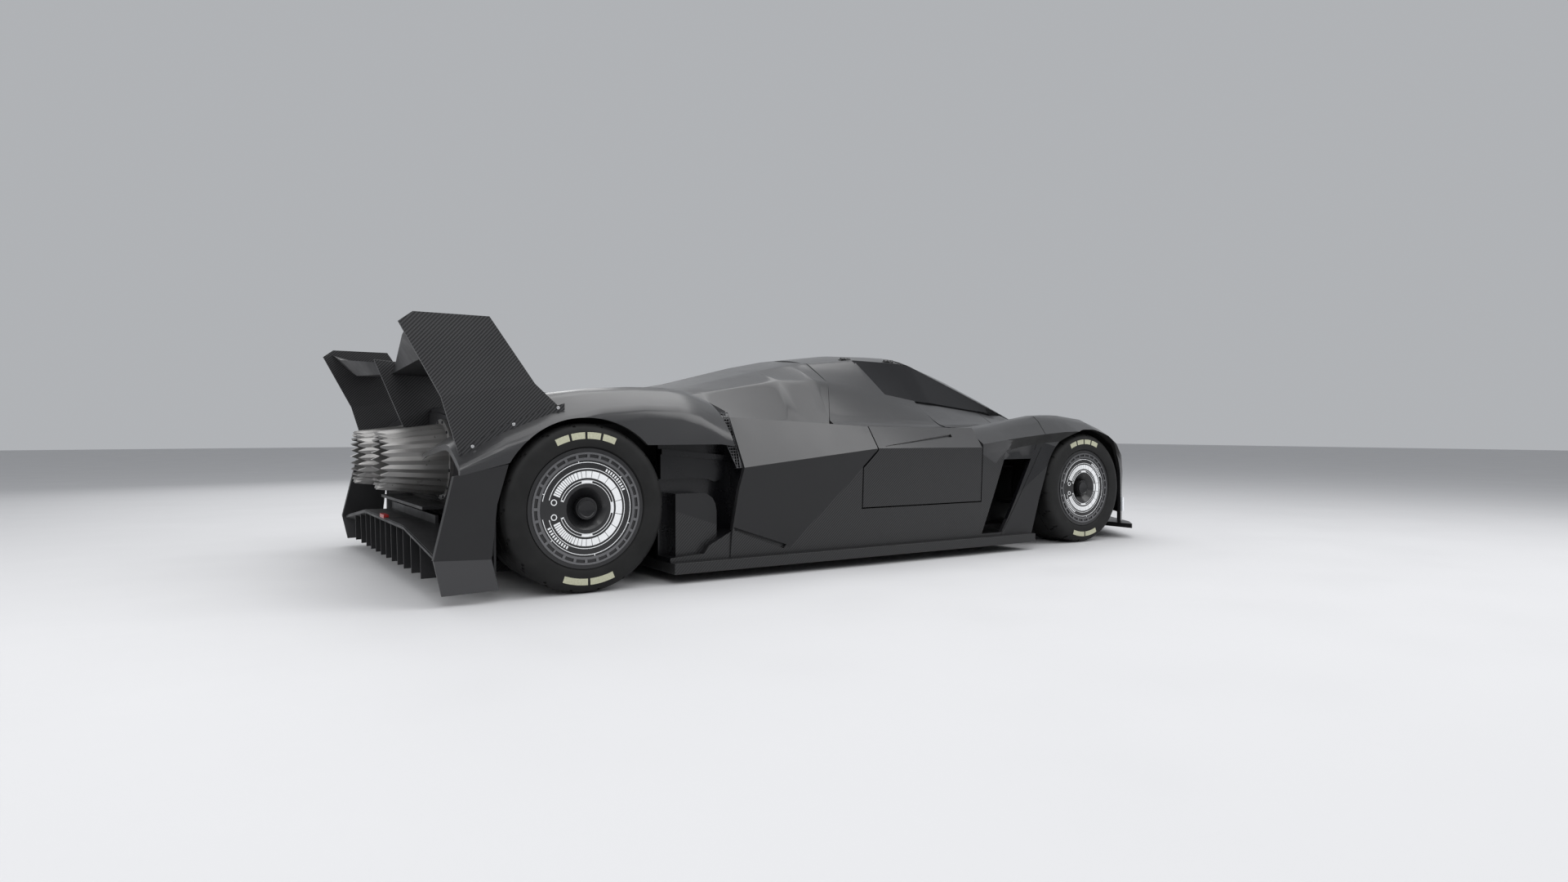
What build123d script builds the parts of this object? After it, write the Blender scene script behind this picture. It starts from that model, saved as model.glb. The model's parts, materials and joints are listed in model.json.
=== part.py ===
from build123d import *
import math
import os

# A closed two-seat track hypercar, in millimetres.
# +X points to the nose, +Y to the driver's left and +Z up. The origin is on the ground,
# under the middle of the car's length and width. Each piece is one STEP file in parts/.

# ---------------------------------------------------------------- driving dimensions
WHEELBASE = 2790
FRONT_AXLE_X = 1232
REAR_AXLE_X = FRONT_AXLE_X - WHEELBASE
NOSE_TIP_X = 2190
BODY_HALF = 1020            # half the width over the rear tyres and the side skirts
GROUND_GAP = 40             # ground to the underside of the floor tray
TRAY_TOP = 82               # top of the floor tray and of the side skirts

REAR_TYRE_R, REAR_TYRE_W, REAR_RIM_R, REAR_FACE_Y = 311, 330, 220, 1020
FRONT_TYRE_R, FRONT_TYRE_W, FRONT_RIM_R, FRONT_FACE_Y = 289, 270, 198, 946
KINGPIN_Y = 800             # steering axis, half-width
STEER_LIMIT = 20            # degrees each way
DOOR_LIMIT = 68             # degrees
RUN_FIT = 0.05              # radial clearance of bearings and hinge pins

PANEL_GAP = 6               # gap round a door
PANEL = 30                  # thickness of a door
SKIN = 16                   # thickness of a fixed cover
FLANK = 20                  # thickness of wings and side pods
GLASS = 6                   # thickness of the panes

DOOR_REAR_X = -200
FLANK_REAR_X = -280         # the door's flank reaches further back than its deck
UPPER_REAR_X = -111         # and its roof edge starts further forward
DOOR_FRONT_X = 430
DOOR_SILL_Z = 256
DOOR_HINGE_Y = 280          # the door's upper seam, and its hinge line
HINGE_Z = 967               # just above the roof skin along that seam
PANE_REAR_LOW_X = 237       # rear edge of the side window, at the crease and at the roof
PANE_REAR_TOP_X = 165
RAIL_END_X = 520            # front end of the door's roof rail

os.makedirs("parts", exist_ok=True)


# ---------------------------------------------------------------- small helpers
def face_yz(x, points):
    """A flat face at station x from points (y, z)."""
    return Plane.YZ.offset(x) * make_face(Polyline(*points, close=True))


def loft_yz(stations):
    """A ruled solid through (x, points) stations that have the same number of points."""
    return loft([face_yz(x, points) for x, points in stations], ruled=True)


def loft_xz(stations):
    """A ruled solid through (y, points) stations, points given as (x, z)."""
    faces = []
    for y, points in stations:
        faces.append(Plane.XZ.offset(-y) * make_face(Polyline(*points, close=True)))
    return loft(faces, ruled=True)


def plate_xz(points, y0, y1):
    """A side-view outline (x, z) given its thickness between y0 and y1."""
    low, high = min(y0, y1), max(y0, y1)
    face = Plane.XZ.offset(-low) * make_face(Polyline(*points, close=True))
    return extrude(face, amount=-(high - low))


def plate_xy(points, z0, z1):
    """A plan-view outline (x, y) given its thickness between z0 and z1."""
    face = Plane.XY.offset(z0) * make_face(Polyline(*points, close=True))
    return extrude(face, amount=z1 - z0)


def plate_yz(points, x0, x1):
    """A front-view outline (y, z) given its thickness between x0 and x1."""
    return extrude(face_yz(x0, points), amount=x1 - x0)


def block(x0, x1, y0, y1, z0, z1):
    """A box between two corners."""
    size = Box(x1 - x0, abs(y1 - y0), z1 - z0)
    return Pos((x0 + x1) / 2, (y0 + y1) / 2, (z0 + z1) / 2) * size


def rod(start, end, radius):
    """A round bar between two points."""
    a, b = Vector(*start), Vector(*end)
    place = Plane(origin=a, z_dir=b - a)
    return extrude(place * Circle(radius), amount=(b - a).length)


def flip(shape):
    """The other side's copy of a piece."""
    return mirror(shape, about=Plane.XZ)


def both(shape):
    """The piece fused with its mirror image across the middle of the car."""
    return shape + flip(shape)


def pair(shape):
    """The piece and its mirror image as separate solids."""
    return Compound(children=list(shape.solids()) + list(flip(shape).solids()))


def save(name, shape):
    export_step(shape, f"parts/{name}.step")


def offset_line(points, distance):
    """An open polyline moved sideways by distance, to the right of its direction."""
    moved = []
    for (ay, az), (by, bz) in zip(points, points[1:]):
        length = math.hypot(by - ay, bz - az)
        ny, nz = (bz - az) / length, -(by - ay) / length
        moved.append(((ay + ny * distance, az + nz * distance),
                      (by + ny * distance, bz + nz * distance)))
    result = [moved[0][0]]
    for (p, q), (r, s) in zip(moved, moved[1:]):
        d1, d2 = (q[0] - p[0], q[1] - p[1]), (s[0] - r[0], s[1] - r[1])
        cross = d1[0] * d2[1] - d1[1] * d2[0]
        if abs(cross) < 1e-6:
            result.append(q)
            continue
        t = ((r[0] - p[0]) * d2[1] - (r[1] - p[1]) * d2[0]) / cross
        result.append((p[0] + d1[0] * t, p[1] + d1[1] * t))
    result.append(moved[-1][1])
    return result


def rounded(points, radii, steps=3):
    """An open polyline whose inner corners are swept round in short chords."""
    result = [points[0]]
    for before, corner, after, radius in zip(points, points[1:], points[2:], radii):
        if not radius:
            result.append(corner)
            continue
        arms = []
        for end in (before, after):
            length = math.dist(corner, end)
            reach = min(radius, 0.45 * length) / length
            arms.append((corner[0] + (end[0] - corner[0]) * reach,
                         corner[1] + (end[1] - corner[1]) * reach))
        for i in range(steps + 1):
            t = i / steps
            weights = ((1 - t) ** 2, 2 * t * (1 - t), t ** 2)
            result.append(tuple(weights[0] * a + weights[1] * c + weights[2] * b
                                for a, c, b in zip(arms[0], corner, arms[1])))
    return result + [points[-1]]


def band(points, thickness):
    """A closed outline as thick as a wall, on the inner side of an open polyline."""
    return points + offset_line(points, thickness)[::-1]


def between(x, rows, column):
    """The value of a table's column at x, read between its rows."""
    for low, high in zip(rows, rows[1:]):
        if low[0] <= x <= high[0]:
            share = (x - low[0]) / (high[0] - low[0])
            return low[column] + (high[column] - low[column]) * share
    raise ValueError(f"{x} is outside the table")


def row_at(x, rows):
    return (x,) + tuple(between(x, rows, c) for c in range(1, len(rows[0])))


# ---------------------------------------------------------------- body lines
# Centre body, right-hand half. Columns: x, crown z, roof edge y and z, crease y and z, base z.
CABIN = [
    (-1880, 690, 180, 684, 320, 668, 600),
    (-1300, 735, 200, 722, 360, 700, 640),
    (-780, 822, 240, 800, 440, 765, 645),
    (-400, 915, 280, 885, 490, 830, 630),
    (-200, 954, 300, 925, 500, 836, 618),
    (172, 999, 330, 960, 505, 785, 606),
    (430, 1005, 335, 953, 500, 745, 606),
    (535, 1004, 336, 946, 498, 738, 610),
]
SEAM_TAIL_X, SEAM_TAIL_Y = -2015, 440
SEAM_SLOPE = 0.1116         # outward run of the seam between centre body and sides


def seam_y(x):
    return SEAM_TAIL_Y + (x - SEAM_TAIL_X) * SEAM_SLOPE


SIDE_FOOT = BODY_HALF - 35          # half-width of the body side at the skirt
DECK_EDGE_Y = SIDE_FOOT - 55        # outer edge of the flat deck beside the cabin
SHOULDER_Y = SIDE_FOOT + 19
# Side of the body between the wheels. Columns: x, shoulder z, deck z.
WAIST = [
    (-897, 444, 648),
    (-200, 515, 612),
    (172, 514, 604),
    (430, 512, 606),
    (535, 512, 610),
]
PILLAR_TOP = (535, 336, 946)
PILLAR_FOOT = (1122, 450, 684)
PANE_TIP = (1010, 452, 690)


def pillar_at(x):
    """y and z of the windscreen pillar line at station x."""
    share = (x - PILLAR_TOP[0]) / (PILLAR_FOOT[0] - PILLAR_TOP[0])
    return tuple(a + (b - a) * share for a, b in zip(PILLAR_TOP[1:], PILLAR_FOOT[1:]))


def crease_at(x):
    """y and z of the window's lower edge at station x."""
    last = CABIN[-1]
    if x <= last[0]:
        return between(x, CABIN, 4), between(x, CABIN, 5)
    share = (x - last[0]) / (PANE_TIP[0] - last[0])
    return last[4] + (PANE_TIP[1] - last[4]) * share, last[5] + (PANE_TIP[2] - last[5]) * share


def hinge_cone(x0, r0, x1, r1):
    """A cone about the right door's hinge axis: what lies inside it never meets the door."""
    ends = [(x0, r0), (x1, r1)]
    return loft([Pos(0, -DOOR_HINGE_Y, HINGE_Z) * (Plane.YZ.offset(x) * Circle(r)) for x, r in ends])


# Radii from the hinge axis of the door's two slanted shut lines, at their rear and front ends.
WALL_CUT = (-209, 504, UPPER_REAR_X, 247)
FLANK_CUT = (FLANK_REAR_X, 898, -189, 853)


def cut_cone(cut, gap=0.0):
    """The cone of a slanted shut line, run on a little past both ends."""
    x0, r0, x1, r1 = cut
    slope = (r1 - r0) / (x1 - x0)
    extra = 40
    return hinge_cone(x0 - extra, r0 - slope * extra - gap, x1, r1 - gap)


def roof_at_seam(x):
    """Height of the roof's outer skin at the door's upper seam."""
    crown, edge_y, edge_z = (between(x, CABIN, c) for c in (1, 2, 3))
    return crown + (edge_z - crown) * DOOR_HINGE_Y / edge_y


# ---------------------------------------------------------------- floor and splitter
TUB_FRONT_X = 1010
TRAY_REAR_X = REAR_AXLE_X - 250
TRAY_FRONT_X = FRONT_AXLE_X + 350
POD_REAR_X = REAR_AXLE_X + REAR_TYRE_R + 39
SKIRT_FRONT_X = 779
WELL_HALF = 560             # half-width of the floor between the wheels


def floor_tray():
    """Flat carbon undertray whose sides form the skirts."""
    half = [(TRAY_REAR_X, 0), (TRAY_REAR_X, -WELL_HALF), (POD_REAR_X, -WELL_HALF),
            (POD_REAR_X, -BODY_HALF), (SKIRT_FRONT_X, -BODY_HALF), (SKIRT_FRONT_X, -WELL_HALF),
            (TRAY_FRONT_X, -WELL_HALF), (TRAY_FRONT_X, 0)]
    return both(plate_xy(half, GROUND_GAP, TRAY_TOP))


SPLITTER_T = 24
SPLITTER_CORNER = (1590, 975)
TOW_EYE_R = 22
TOW_PLATE_T = 12
TOW_X, TOW_Z = NOSE_TIP_X - 42, 118


def front_splitter():
    """Pointed splitter blade with the towing plate on its nose."""
    cx, cy = SPLITTER_CORNER
    half = [(TRAY_FRONT_X, 0), (TRAY_FRONT_X, -cy), (cx, -cy), (cx + 100, -cy + 95),
            (NOSE_TIP_X - 30, -150), (NOSE_TIP_X, -70), (NOSE_TIP_X, 0)]
    blade = both(plate_xy(half, TRAY_TOP - SPLITTER_T, TRAY_TOP))
    plate = block(TOW_X - 30, TOW_X + 30, -TOW_PLATE_T / 2, TOW_PLATE_T / 2, TRAY_TOP, TOW_Z)
    head = Pos(TOW_X, 0, TOW_Z) * (Rot(90, 0, 0) * Cylinder(38, TOW_PLATE_T))
    eye = Pos(TOW_X, 0, TOW_Z) * (Rot(90, 0, 0) * Cylinder(TOW_EYE_R, TOW_PLATE_T * 3))
    return blade + (plate + head - eye)


# ---------------------------------------------------------------- centre body
COVER_FOOT_Z = 440


ARCH_SHARES = (0.0, 0.3, 0.55, 0.78, 1.0)
ROOF_POWER = 1.9            # roundness of the roof between the doors


def arched(edge_y, edge_z, crown_z, power):
    """A cross curve (y, z) from the right edge over the crown to the left edge."""
    left = [(edge_y * s, crown_z - (crown_z - edge_z) * s ** power) for s in ARCH_SHARES]
    return [(-y, z) for y, z in left[:0:-1]] + left


def cover_section(row, inset=0):
    """Closed section of the engine cover at a row of CABIN."""
    x, crown, edge_y, edge_z, crease_y, crease_z, base_z = row
    side = seam_y(x) - inset
    foot = COVER_FOOT_Z - (40 if inset else 0)
    half = [(0, crown - inset), (-edge_y + inset / 2, edge_z - inset),
            (-crease_y + inset, crease_z - inset), (-side, base_z - inset), (-side, foot)]
    return half + [(-y, z) for y, z in half[:0:-1]]


POD_END_X = DOOR_REAR_X - PANEL_GAP
COVER_END_X = UPPER_REAR_X - PANEL_GAP


def engine_cover():
    """Hollow teardrop cover from the doors to the tail."""
    rows = [r for r in CABIN if r[0] < COVER_END_X] + [row_at(COVER_END_X, CABIN)]
    outer = loft_yz([(r[0], cover_section(r)) for r in rows])
    hollow = [(rows[0][0] + SKIN,) + rows[0][1:]] + rows[1:-1] + [(COVER_END_X + 1,) + rows[-1][1:]]
    inner = loft_yz([(r[0], cover_section(r, SKIN)) for r in hollow])
    kept = cut_cone(WALL_CUT, PANEL_GAP)
    front = block(POD_END_X, COVER_END_X + 5, -BODY_HALF, BODY_HALF, 0, 1200)
    front -= block(POD_END_X, COVER_END_X + 5, -DOOR_HINGE_Y, DOOR_HINGE_Y, 0, 1200)
    front = front - kept - flip(kept)
    return outer - inner - front


HINGE_XS = (150, 440)
HINGE_L = 60
HINGE_PIN_R = 4
HINGE_EAR_R = 8
HINGE_CLEAR_R = 14


def hinge_barrel(x0, x1, radius=HINGE_EAR_R):
    """A round bar on the right door's hinge axis."""
    return rod((x0, -DOOR_HINGE_Y, HINGE_Z), (x1, -DOOR_HINGE_Y, HINGE_Z), radius)


def hinge_room():
    """Space cut round both hinges of the right door."""
    room = None
    for x in HINGE_XS:
        piece = hinge_barrel(x - HINGE_L / 2, x + HINGE_L / 2, HINGE_CLEAR_R)
        room = piece if room is None else room + piece
    return room


def roof_panel():
    """Roof spine between the two doors' upper seams, with the hinges' fixed halves."""
    stations = []
    edge = DOOR_HINGE_Y - PANEL_GAP
    for x in (COVER_END_X, 172, 430, PILLAR_TOP[0]):
        crown = between(x, CABIN, 1)
        rim = roof_at_seam(x)
        line = arched(edge, rim, crown, ROOF_POWER)
        stations.append((x, line + [(y, z - SKIN) for y, z in line[::-1]]))
    spine = loft_yz(stations) - hinge_room() - flip(hinge_room())
    for x in HINGE_XS:
        third = HINGE_L / 3
        for x0 in (x - HINGE_L / 2, x + HINGE_L / 2 - third + 2):
            ear = hinge_barrel(x0, x0 + third - 2)
            web = block(x0, x0 + third - 2, -DOOR_HINGE_Y, -DOOR_HINGE_Y + 22,
                        HINGE_Z - HINGE_EAR_R - 4, HINGE_Z - 1)
            spine += both(ear + web)
        spine += both(hinge_barrel(x - HINGE_L / 2, x + HINGE_L / 2, HINGE_PIN_R))
    return spine


# Windscreen. Columns: x, centre z, edge y and z, power of the cross curve.
SCREEN = [
    (535, 1003, 330, 944, 1.9),
    (750, 976, 372, 850, 1.35),
    (900, 934, 402, 783, 1.3),
    (1122, 852, 444, 682, 1.25),
    (1460, 690, 449, 545, 1.4),
]
SCREEN_BASE_X = 1450
NOSE_HALF = 455             # half-width of the nose cover at the wings


def screen_plan():
    """Plan outline that trims the windscreen along its base."""
    start = SCREEN[0][0]
    foot_x, foot_y = PILLAR_FOOT[0], PILLAR_FOOT[1] + 5
    line = Polyline((foot_x, -foot_y), (start, -foot_y), (start, foot_y), (foot_x, foot_y))
    arc = ThreePointArc((foot_x, foot_y), (SCREEN_BASE_X, 0), (foot_x, -foot_y))
    return extrude(Plane.XY.offset(400) * make_face(line + arc), amount=700)


def windscreen():
    """Wrap-round pane bonded to the roof and to the cowl."""
    stations = []
    for x, centre, edge_y, edge_z, power in SCREEN:
        stations.append((x, band(arched(edge_y, edge_z, centre, power), GLASS)))
    return loft_yz(stations) & screen_plan()


# Nose. Columns: x, centre z, edge y and z, power of the cross curve.
NOSE = [
    (1122, 852, NOSE_HALF, 676, 1.25),
    (1460, 690, NOSE_HALF, 541, 1.4),
    (1590, 598, NOSE_HALF, 452, 1.6),
    (1700, 510, 430, 350, 1.8),
    (1950, 330, 320, 215, 2.2),
    (NOSE_TIP_X - 90, 195, 170, 140, 2.4),
]


def nose_cover():
    """Nose moulding from the windscreen's base to the tip."""
    stations = []
    first = (TUB_FRONT_X + 2,) + NOSE[0][1:]
    for x, centre, edge_y, edge_z, power in [first] + NOSE:
        line = arched(edge_y, edge_z, centre, power)
        stations.append((x, line + [(edge_y, TRAY_TOP), (-edge_y, TRAY_TOP)]))
    return loft_yz(stations) - screen_plan()


# ---------------------------------------------------------------- tub
TUB_REAR_X = -250
CABIN_HALF = 440
TUB_WALL = 40
SILL_TOP = DOOR_SILL_Z - PANEL_GAP
TUB_WALL_TOP = 520


def chassis_tub():
    """Carbon tub: floor, walls, sills and the two bulkheads round the cabin."""
    floor = block(TUB_REAR_X, TUB_FRONT_X, -CABIN_HALF, CABIN_HALF, TRAY_TOP, TRAY_TOP + 20)
    wall = block(TUB_REAR_X, TUB_FRONT_X, -CABIN_HALF - TUB_WALL, -CABIN_HALF,
                 TRAY_TOP, TUB_WALL_TOP)
    sill = plate_yz([(-CABIN_HALF - TUB_WALL, TRAY_TOP), (-SIDE_FOOT + 15, TRAY_TOP),
                     (-SIDE_FOOT + 15, SILL_TOP), (-CABIN_HALF - TUB_WALL, SILL_TOP)],
                    POD_END_X, DOOR_FRONT_X + PANEL_GAP) - side_pod_right()
    row = row_at(TUB_REAR_X, CABIN)
    rear = [(y, max(z, TRAY_TOP)) for y, z in cover_section(row, SKIN + 8)]
    rear = [(y, TRAY_TOP if z <= COVER_FOOT_Z else z) for y, z in rear]
    rear_wall = plate_yz(rear, TUB_REAR_X, TUB_REAR_X + 30)
    front_wall = block(TUB_FRONT_X - 30, TUB_FRONT_X, -CABIN_HALF, CABIN_HALF, TRAY_TOP, 560)
    return floor + both(wall) + both(sill) + rear_wall + front_wall


# ---------------------------------------------------------------- doors
def side_at(z, x):
    """Half-width of the body side at height z below the shoulder."""
    share = (z - TRAY_TOP) / (between(x, WAIST, 1) - TRAY_TOP)
    return SIDE_FOOT + (SHOULDER_Y - SIDE_FOOT) * share


def door_line(x, part):
    """Outer polyline (y, z) of the right door at station x: whole, lower or rail."""
    waist_x = max(x, WAIST[0][0])
    points = {
        "rim": (-DOOR_HINGE_Y, roof_at_seam(x)),
        "edge": (-between(x, CABIN, 2), between(x, CABIN, 3)),
        "crease": (-between(x, CABIN, 4), between(x, CABIN, 5)),
        "base": (-seam_y(x), between(x, CABIN, 6)),
        "deck": (-DECK_EDGE_Y, between(waist_x, WAIST, 2)),
        "shoulder": (-SHOULDER_Y, between(waist_x, WAIST, 1)),
        "foot": (-side_at(DOOR_SILL_Z, waist_x), DOOR_SILL_Z),
    }
    parts = {
        "whole": ("foot", "shoulder", "deck", "base", "crease", "edge", "rim"),
        "lower": ("foot", "shoulder", "deck", "base", "crease"),
        "rail": ("edge", "rim"),
    }
    line = [points[name] for name in parts[part]]
    if part == "rail":
        return line
    radii = {"whole": (0, 0, 60, 60, 30), "lower": (0, 0, 60)}
    return rounded(line, radii[part])


def door_band(stations, part, thickness=PANEL):
    return loft_yz([(x, band(door_line(x, part), thickness)) for x in stations])


def window_prism():
    """Side outline of the window opening, run through the whole door."""
    outline = [(PANE_REAR_LOW_X, crease_at(PANE_REAR_LOW_X)[1] + 2), (430, crease_at(430)[1] + 2),
               (RAIL_END_X + 20, crease_at(RAIL_END_X + 20)[1]), (RAIL_END_X + 20, 948),
               (430, between(430, CABIN, 3) - 2), (PANE_REAR_TOP_X, between(PANE_REAR_TOP_X, CABIN, 3) - 4)]
    return plate_xz(outline, -DOOR_HINGE_Y - 20, -620)


def gill():
    """Pointed slot in the door's shoulder."""
    stations = []
    for x, y, z, half, depth in ((-156, 996, 523, 1, 4), (272, 965, 575, 9, 20)):
        along, across = (0.62, 0.78), (0.78, -0.62)
        corners = []
        for a, d in ((-half, 12), (half, 12), (half, -depth), (-half, -depth)):
            corners.append((-(y + across[0] * d - along[0] * a), z - across[1] * d + along[1] * a))
        stations.append((x, corners))
    return loft_yz(stations)


def door_right():
    """Gull-wing door: roof edge, cabin side, deck, flank and sill in one moulding."""
    door = door_band((DOOR_REAR_X, 172, DOOR_FRONT_X), "whole") - cut_cone(WALL_CUT)
    door += door_band((DOOR_FRONT_X, RAIL_END_X), "rail", SKIN)
    door += door_band((FLANK_REAR_X, DOOR_REAR_X), "lower") - cut_cone(FLANK_CUT)
    door = door - hinge_room() - window_prism() - gill()
    for x in HINGE_XS:
        half = HINGE_L / 6 - 1
        bore = hinge_barrel(x - half, x + half, HINGE_PIN_R + RUN_FIT)
        ear = hinge_barrel(x - half, x + half)
        web = block(x - half, x + half, -DOOR_HINGE_Y - 22, -DOOR_HINGE_Y,
                    HINGE_Z - HINGE_EAR_R - 6, HINGE_Z - 1)
        door += ear + web
        door -= bore
    return door


def window_right():
    """Side pane between the roof rail, the pillar line and the crease."""
    stations = []
    for x in (PANE_REAR_TOP_X - 4, 430, PILLAR_TOP[0], 750, PANE_TIP[0]):
        if x <= 430:
            top = (-between(x, CABIN, 2), between(x, CABIN, 3))
        else:
            y, z = pillar_at(x)
            top = (-y - PANEL_GAP, z - PANEL_GAP)
        y, z = crease_at(x)
        stations.append((x, band([(-y, z), top], GLASS)))
    pane = loft_yz(stations) - door_right()
    return pane.solids().sort_by(SortBy.VOLUME)[-1]


# ---------------------------------------------------------------- side pods
INTAKE_X = -897             # where the side intake opens, behind the flank
INTAKE_WALL_Y = SIDE_FOOT - 115     # recessed wall of the intake
FLANK_TAIL_X = -945
LIP_Y = SIDE_FOOT - 125             # outboard of this the wing's lip stands behind a mesh gap
# Side outlines of what is cut from the rear wing's front lip and the flank's rear edge.
WING_LIP = [(-890, 800), (-980, 800), (-978, 698), (-950, 553), (-912, 444), (-890, 430)]
INTAKE_EDGE = [(-1000, 700), (-917, 700), (-917, 651), (-888, 444), (-912, 355), (-937, 198),
               (-945, 60), (-1000, 60)]
SILL_WEDGE = [(POD_REAR_X, TRAY_TOP), (POD_REAR_X, 100), (-1060, 108), (-1039, 138), (-935, 190),
              (-905, 190), (-905, TRAY_TOP)]
# Side outlines of the forms on the intake's inner wall.
LOWER_DUCT = [(-1168, TRAY_TOP), (-985, TRAY_TOP), (-985, 270), (-990, 300), (-1004, 325), (-1030, 342),
              (-1060, 346), (-1168, 346)]
UPPER_DUCT = [(POD_REAR_X, 402), (-1060, 404), (-1000, 398), (-965, 386), (-935, 396), (-912, 430),
              (-890, 480), (POD_REAR_X, 500)]
INTAKE_RIDGE = [(POD_REAR_X, 500), (INTAKE_X + 10, 470), (INTAKE_X + 10, 490), (POD_REAR_X, 522)]
SILL_SLOT = [(-932, 206), (-925, 190), (-690, 104), (-676, 120)]


def side_pod_right():
    """Fixed body side behind the door, with the recessed intake before the rear wheel."""
    stations = []
    for x in (FLANK_TAIL_X, INTAKE_X, POD_END_X):
        waist_x = max(x, WAIST[0][0])
        line = [(-SIDE_FOOT, TRAY_TOP), (-SHOULDER_Y, between(waist_x, WAIST, 1)),
                (-DECK_EDGE_Y, between(waist_x, WAIST, 2)), (-seam_y(x), between(x, CABIN, 6))]
        stations.append((x, band(line, FLANK)))
    flank = loft_yz(stations) - plate_xz(INTAKE_EDGE, -LIP_Y, -BODY_HALF - 20)
    flank -= block(FLANK_TAIL_X - 1, INTAKE_X, -LIP_Y, 0, 0, 1000)
    flank -= plate_xz(SILL_SLOT, -SIDE_FOOT + 12, -BODY_HALF)
    room = block(FLANK_REAR_X - PANEL_GAP, POD_END_X + 1, -BODY_HALF - 20, 105 - SIDE_FOOT,
                 DOOR_SILL_Z - PANEL_GAP, 700)
    flank -= room - cut_cone(FLANK_CUT, PANEL_GAP)
    sill = loft_yz([(x, band([(-SIDE_FOOT, TRAY_TOP), (-side_at(SILL_TOP, x), SILL_TOP)], FLANK))
                    for x in (POD_END_X, DOOR_FRONT_X + PANEL_GAP)])
    wall_y = -INTAKE_WALL_Y
    inner = block(POD_REAR_X, INTAKE_X + 30, wall_y, wall_y + FLANK, TRAY_TOP, 560)
    closing = plate_yz([(wall_y, TRAY_TOP), (-SIDE_FOOT + 19, TRAY_TOP), (-SHOULDER_Y + 19, 430),
                        (wall_y, 560)], -880, -860)
    wedge = plate_xz(SILL_WEDGE, wall_y, -SIDE_FOOT + 4)
    duct = plate_xz(LOWER_DUCT, wall_y, 40 - SIDE_FOOT)
    shelf = plate_xz(UPPER_DUCT, wall_y, wall_y - 24)
    ridge = plate_xz(INTAKE_RIDGE, wall_y, wall_y - 36)
    return flank + sill + inner + closing + wedge + duct + shelf + ridge


# ---------------------------------------------------------------- rear wings
# Columns: x, seam z, crown z, shoulder z, edge z, lower z of the outer lip.
REAR_WING_ROWS = [
    (-2010, 500, 545, 500, 470, 442),
    (-1850, 590, 655, 595, 545, 480),
    (-1678, 618, 738, 662, 612, 540),
    (-1491, 627, 763, 702, 655, 540),
    (-1323, 638, 774, 716, 670, 540),
    (-1183, 641, 774, 716, 665, 540),
    (-1092, 642, 763, 700, 640, 540),
    (-999, 643, 729, 668, 590, 540),
    (-934, 644, 699, 645, 556, 530),
    (INTAKE_X, 644, 680, 628, 520, 500),
]
REAR_ARCH_R = REAR_TYRE_R + 20


def rear_fender_right():
    """Rear wing over the wheel."""
    stations = []
    for x, seam, crown, shoulder, edge, low in REAR_WING_ROWS:
        y = seam_y(x)
        inner = between(max(x, -1880), CABIN, 6) if x >= -1880 else seam
        line = [(-BODY_HALF, low), (-BODY_HALF, edge), (60 - BODY_HALF, shoulder), (170 - BODY_HALF, crown + 6),
                (-y - 70, inner + (crown - inner) * 0.35), (-y, inner)]
        stations.append((x, band(rounded(line, (30, 60, 70, 80)), FLANK)))
    shell = loft_yz(stations)
    arch = rod((REAR_AXLE_X, -BODY_HALF - 50, REAR_TYRE_R), (REAR_AXLE_X, -600, REAR_TYRE_R),
               REAR_ARCH_R)
    return shell - arch - plate_xz(WING_LIP, -LIP_Y, -BODY_HALF - 20)


# ---------------------------------------------------------------- front wings
# Columns: x, then inset from the body's half-width and z of the valley, crown, shoulder and
# undercut, then the foot's inset.
FRONT_WING_ROWS = [
    (DOOR_FRONT_X + PANEL_GAP, 307, 606, 140, 606, 16, 528, 18, 480, 35),
    (600, 314, 603, 150, 628, 16, 548, 30, 492, 35),
    (732, 330, 600, 155, 656, 16, 562, 48, 512, 35),
    (912, 350, 596, 160, 689, 16, 578, 60, 530, 35),
    (1016, 365, 600, 165, 693, 16, 585, 60, 535, 35),
    (1102, 375, 604, 170, 692, 16, 588, 58, 540, 35),
    (1292, 380, 602, 180, 668, 35, 582, 60, 540, 45),
    (1400, 395, 560, 190, 632, 48, 560, 65, 520, 60),
    (1480, 410, 520, 205, 588, 65, 520, 78, 490, 75),
    (1560, 420, 468, 230, 515, 95, 455, 102, 430, 98),
    (1640, 420, 380, 250, 405, 148, 365, 152, 345, 150),
    (1690, 420, 270, 270, 285, 190, 262, 192, 250, 192),
    (1712, 420, 150, 285, 154, 220, 146, 220, 120, 220),
]
FRONT_ARCH_R = FRONT_TYRE_R + 20
FRONT_ARCH_SHIFT = 25
FRONT_WELL_Y = 655          # inner edge of the arch's cut
DUCT = [(590, 452), (800, 452), (578, 96), (444, 96)]       # side outlet behind the wheel
ARCH_TAIL = [(930, 430), (927, 415), (852, 250), (784, 70), (930, 70)]


# Inner top edge of the front wing ahead of the windscreen. Columns: x, z.
NOSE_SIDE = [(1590, 452), (1640, 380), (1690, 270), (1712, 150)]


def wing_inner(x):
    """Inner top edge (y, z) of the front wing: under the window, then along the nose."""
    if x <= PANE_TIP[0]:
        y, z = crease_at(x)
        return y + 4, z - 9
    if x <= NOSE[0][0]:
        return NOSE_HALF, NOSE[0][3]
    if x <= NOSE[2][0]:
        return NOSE_HALF, between(x, NOSE, 3)
    return NOSE_HALF, between(x, NOSE_SIDE, 1)


NOSE_INTAKE = (1645, 1730, -690, -490, 175, 300)        # the room of the intake in the nose
GRILLE_RIM = 14             # how far the grille's frame reaches behind the wing's skin
GRILLE_DEPTH = 40
SLATS = 5
SLAT_T = 6


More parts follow.
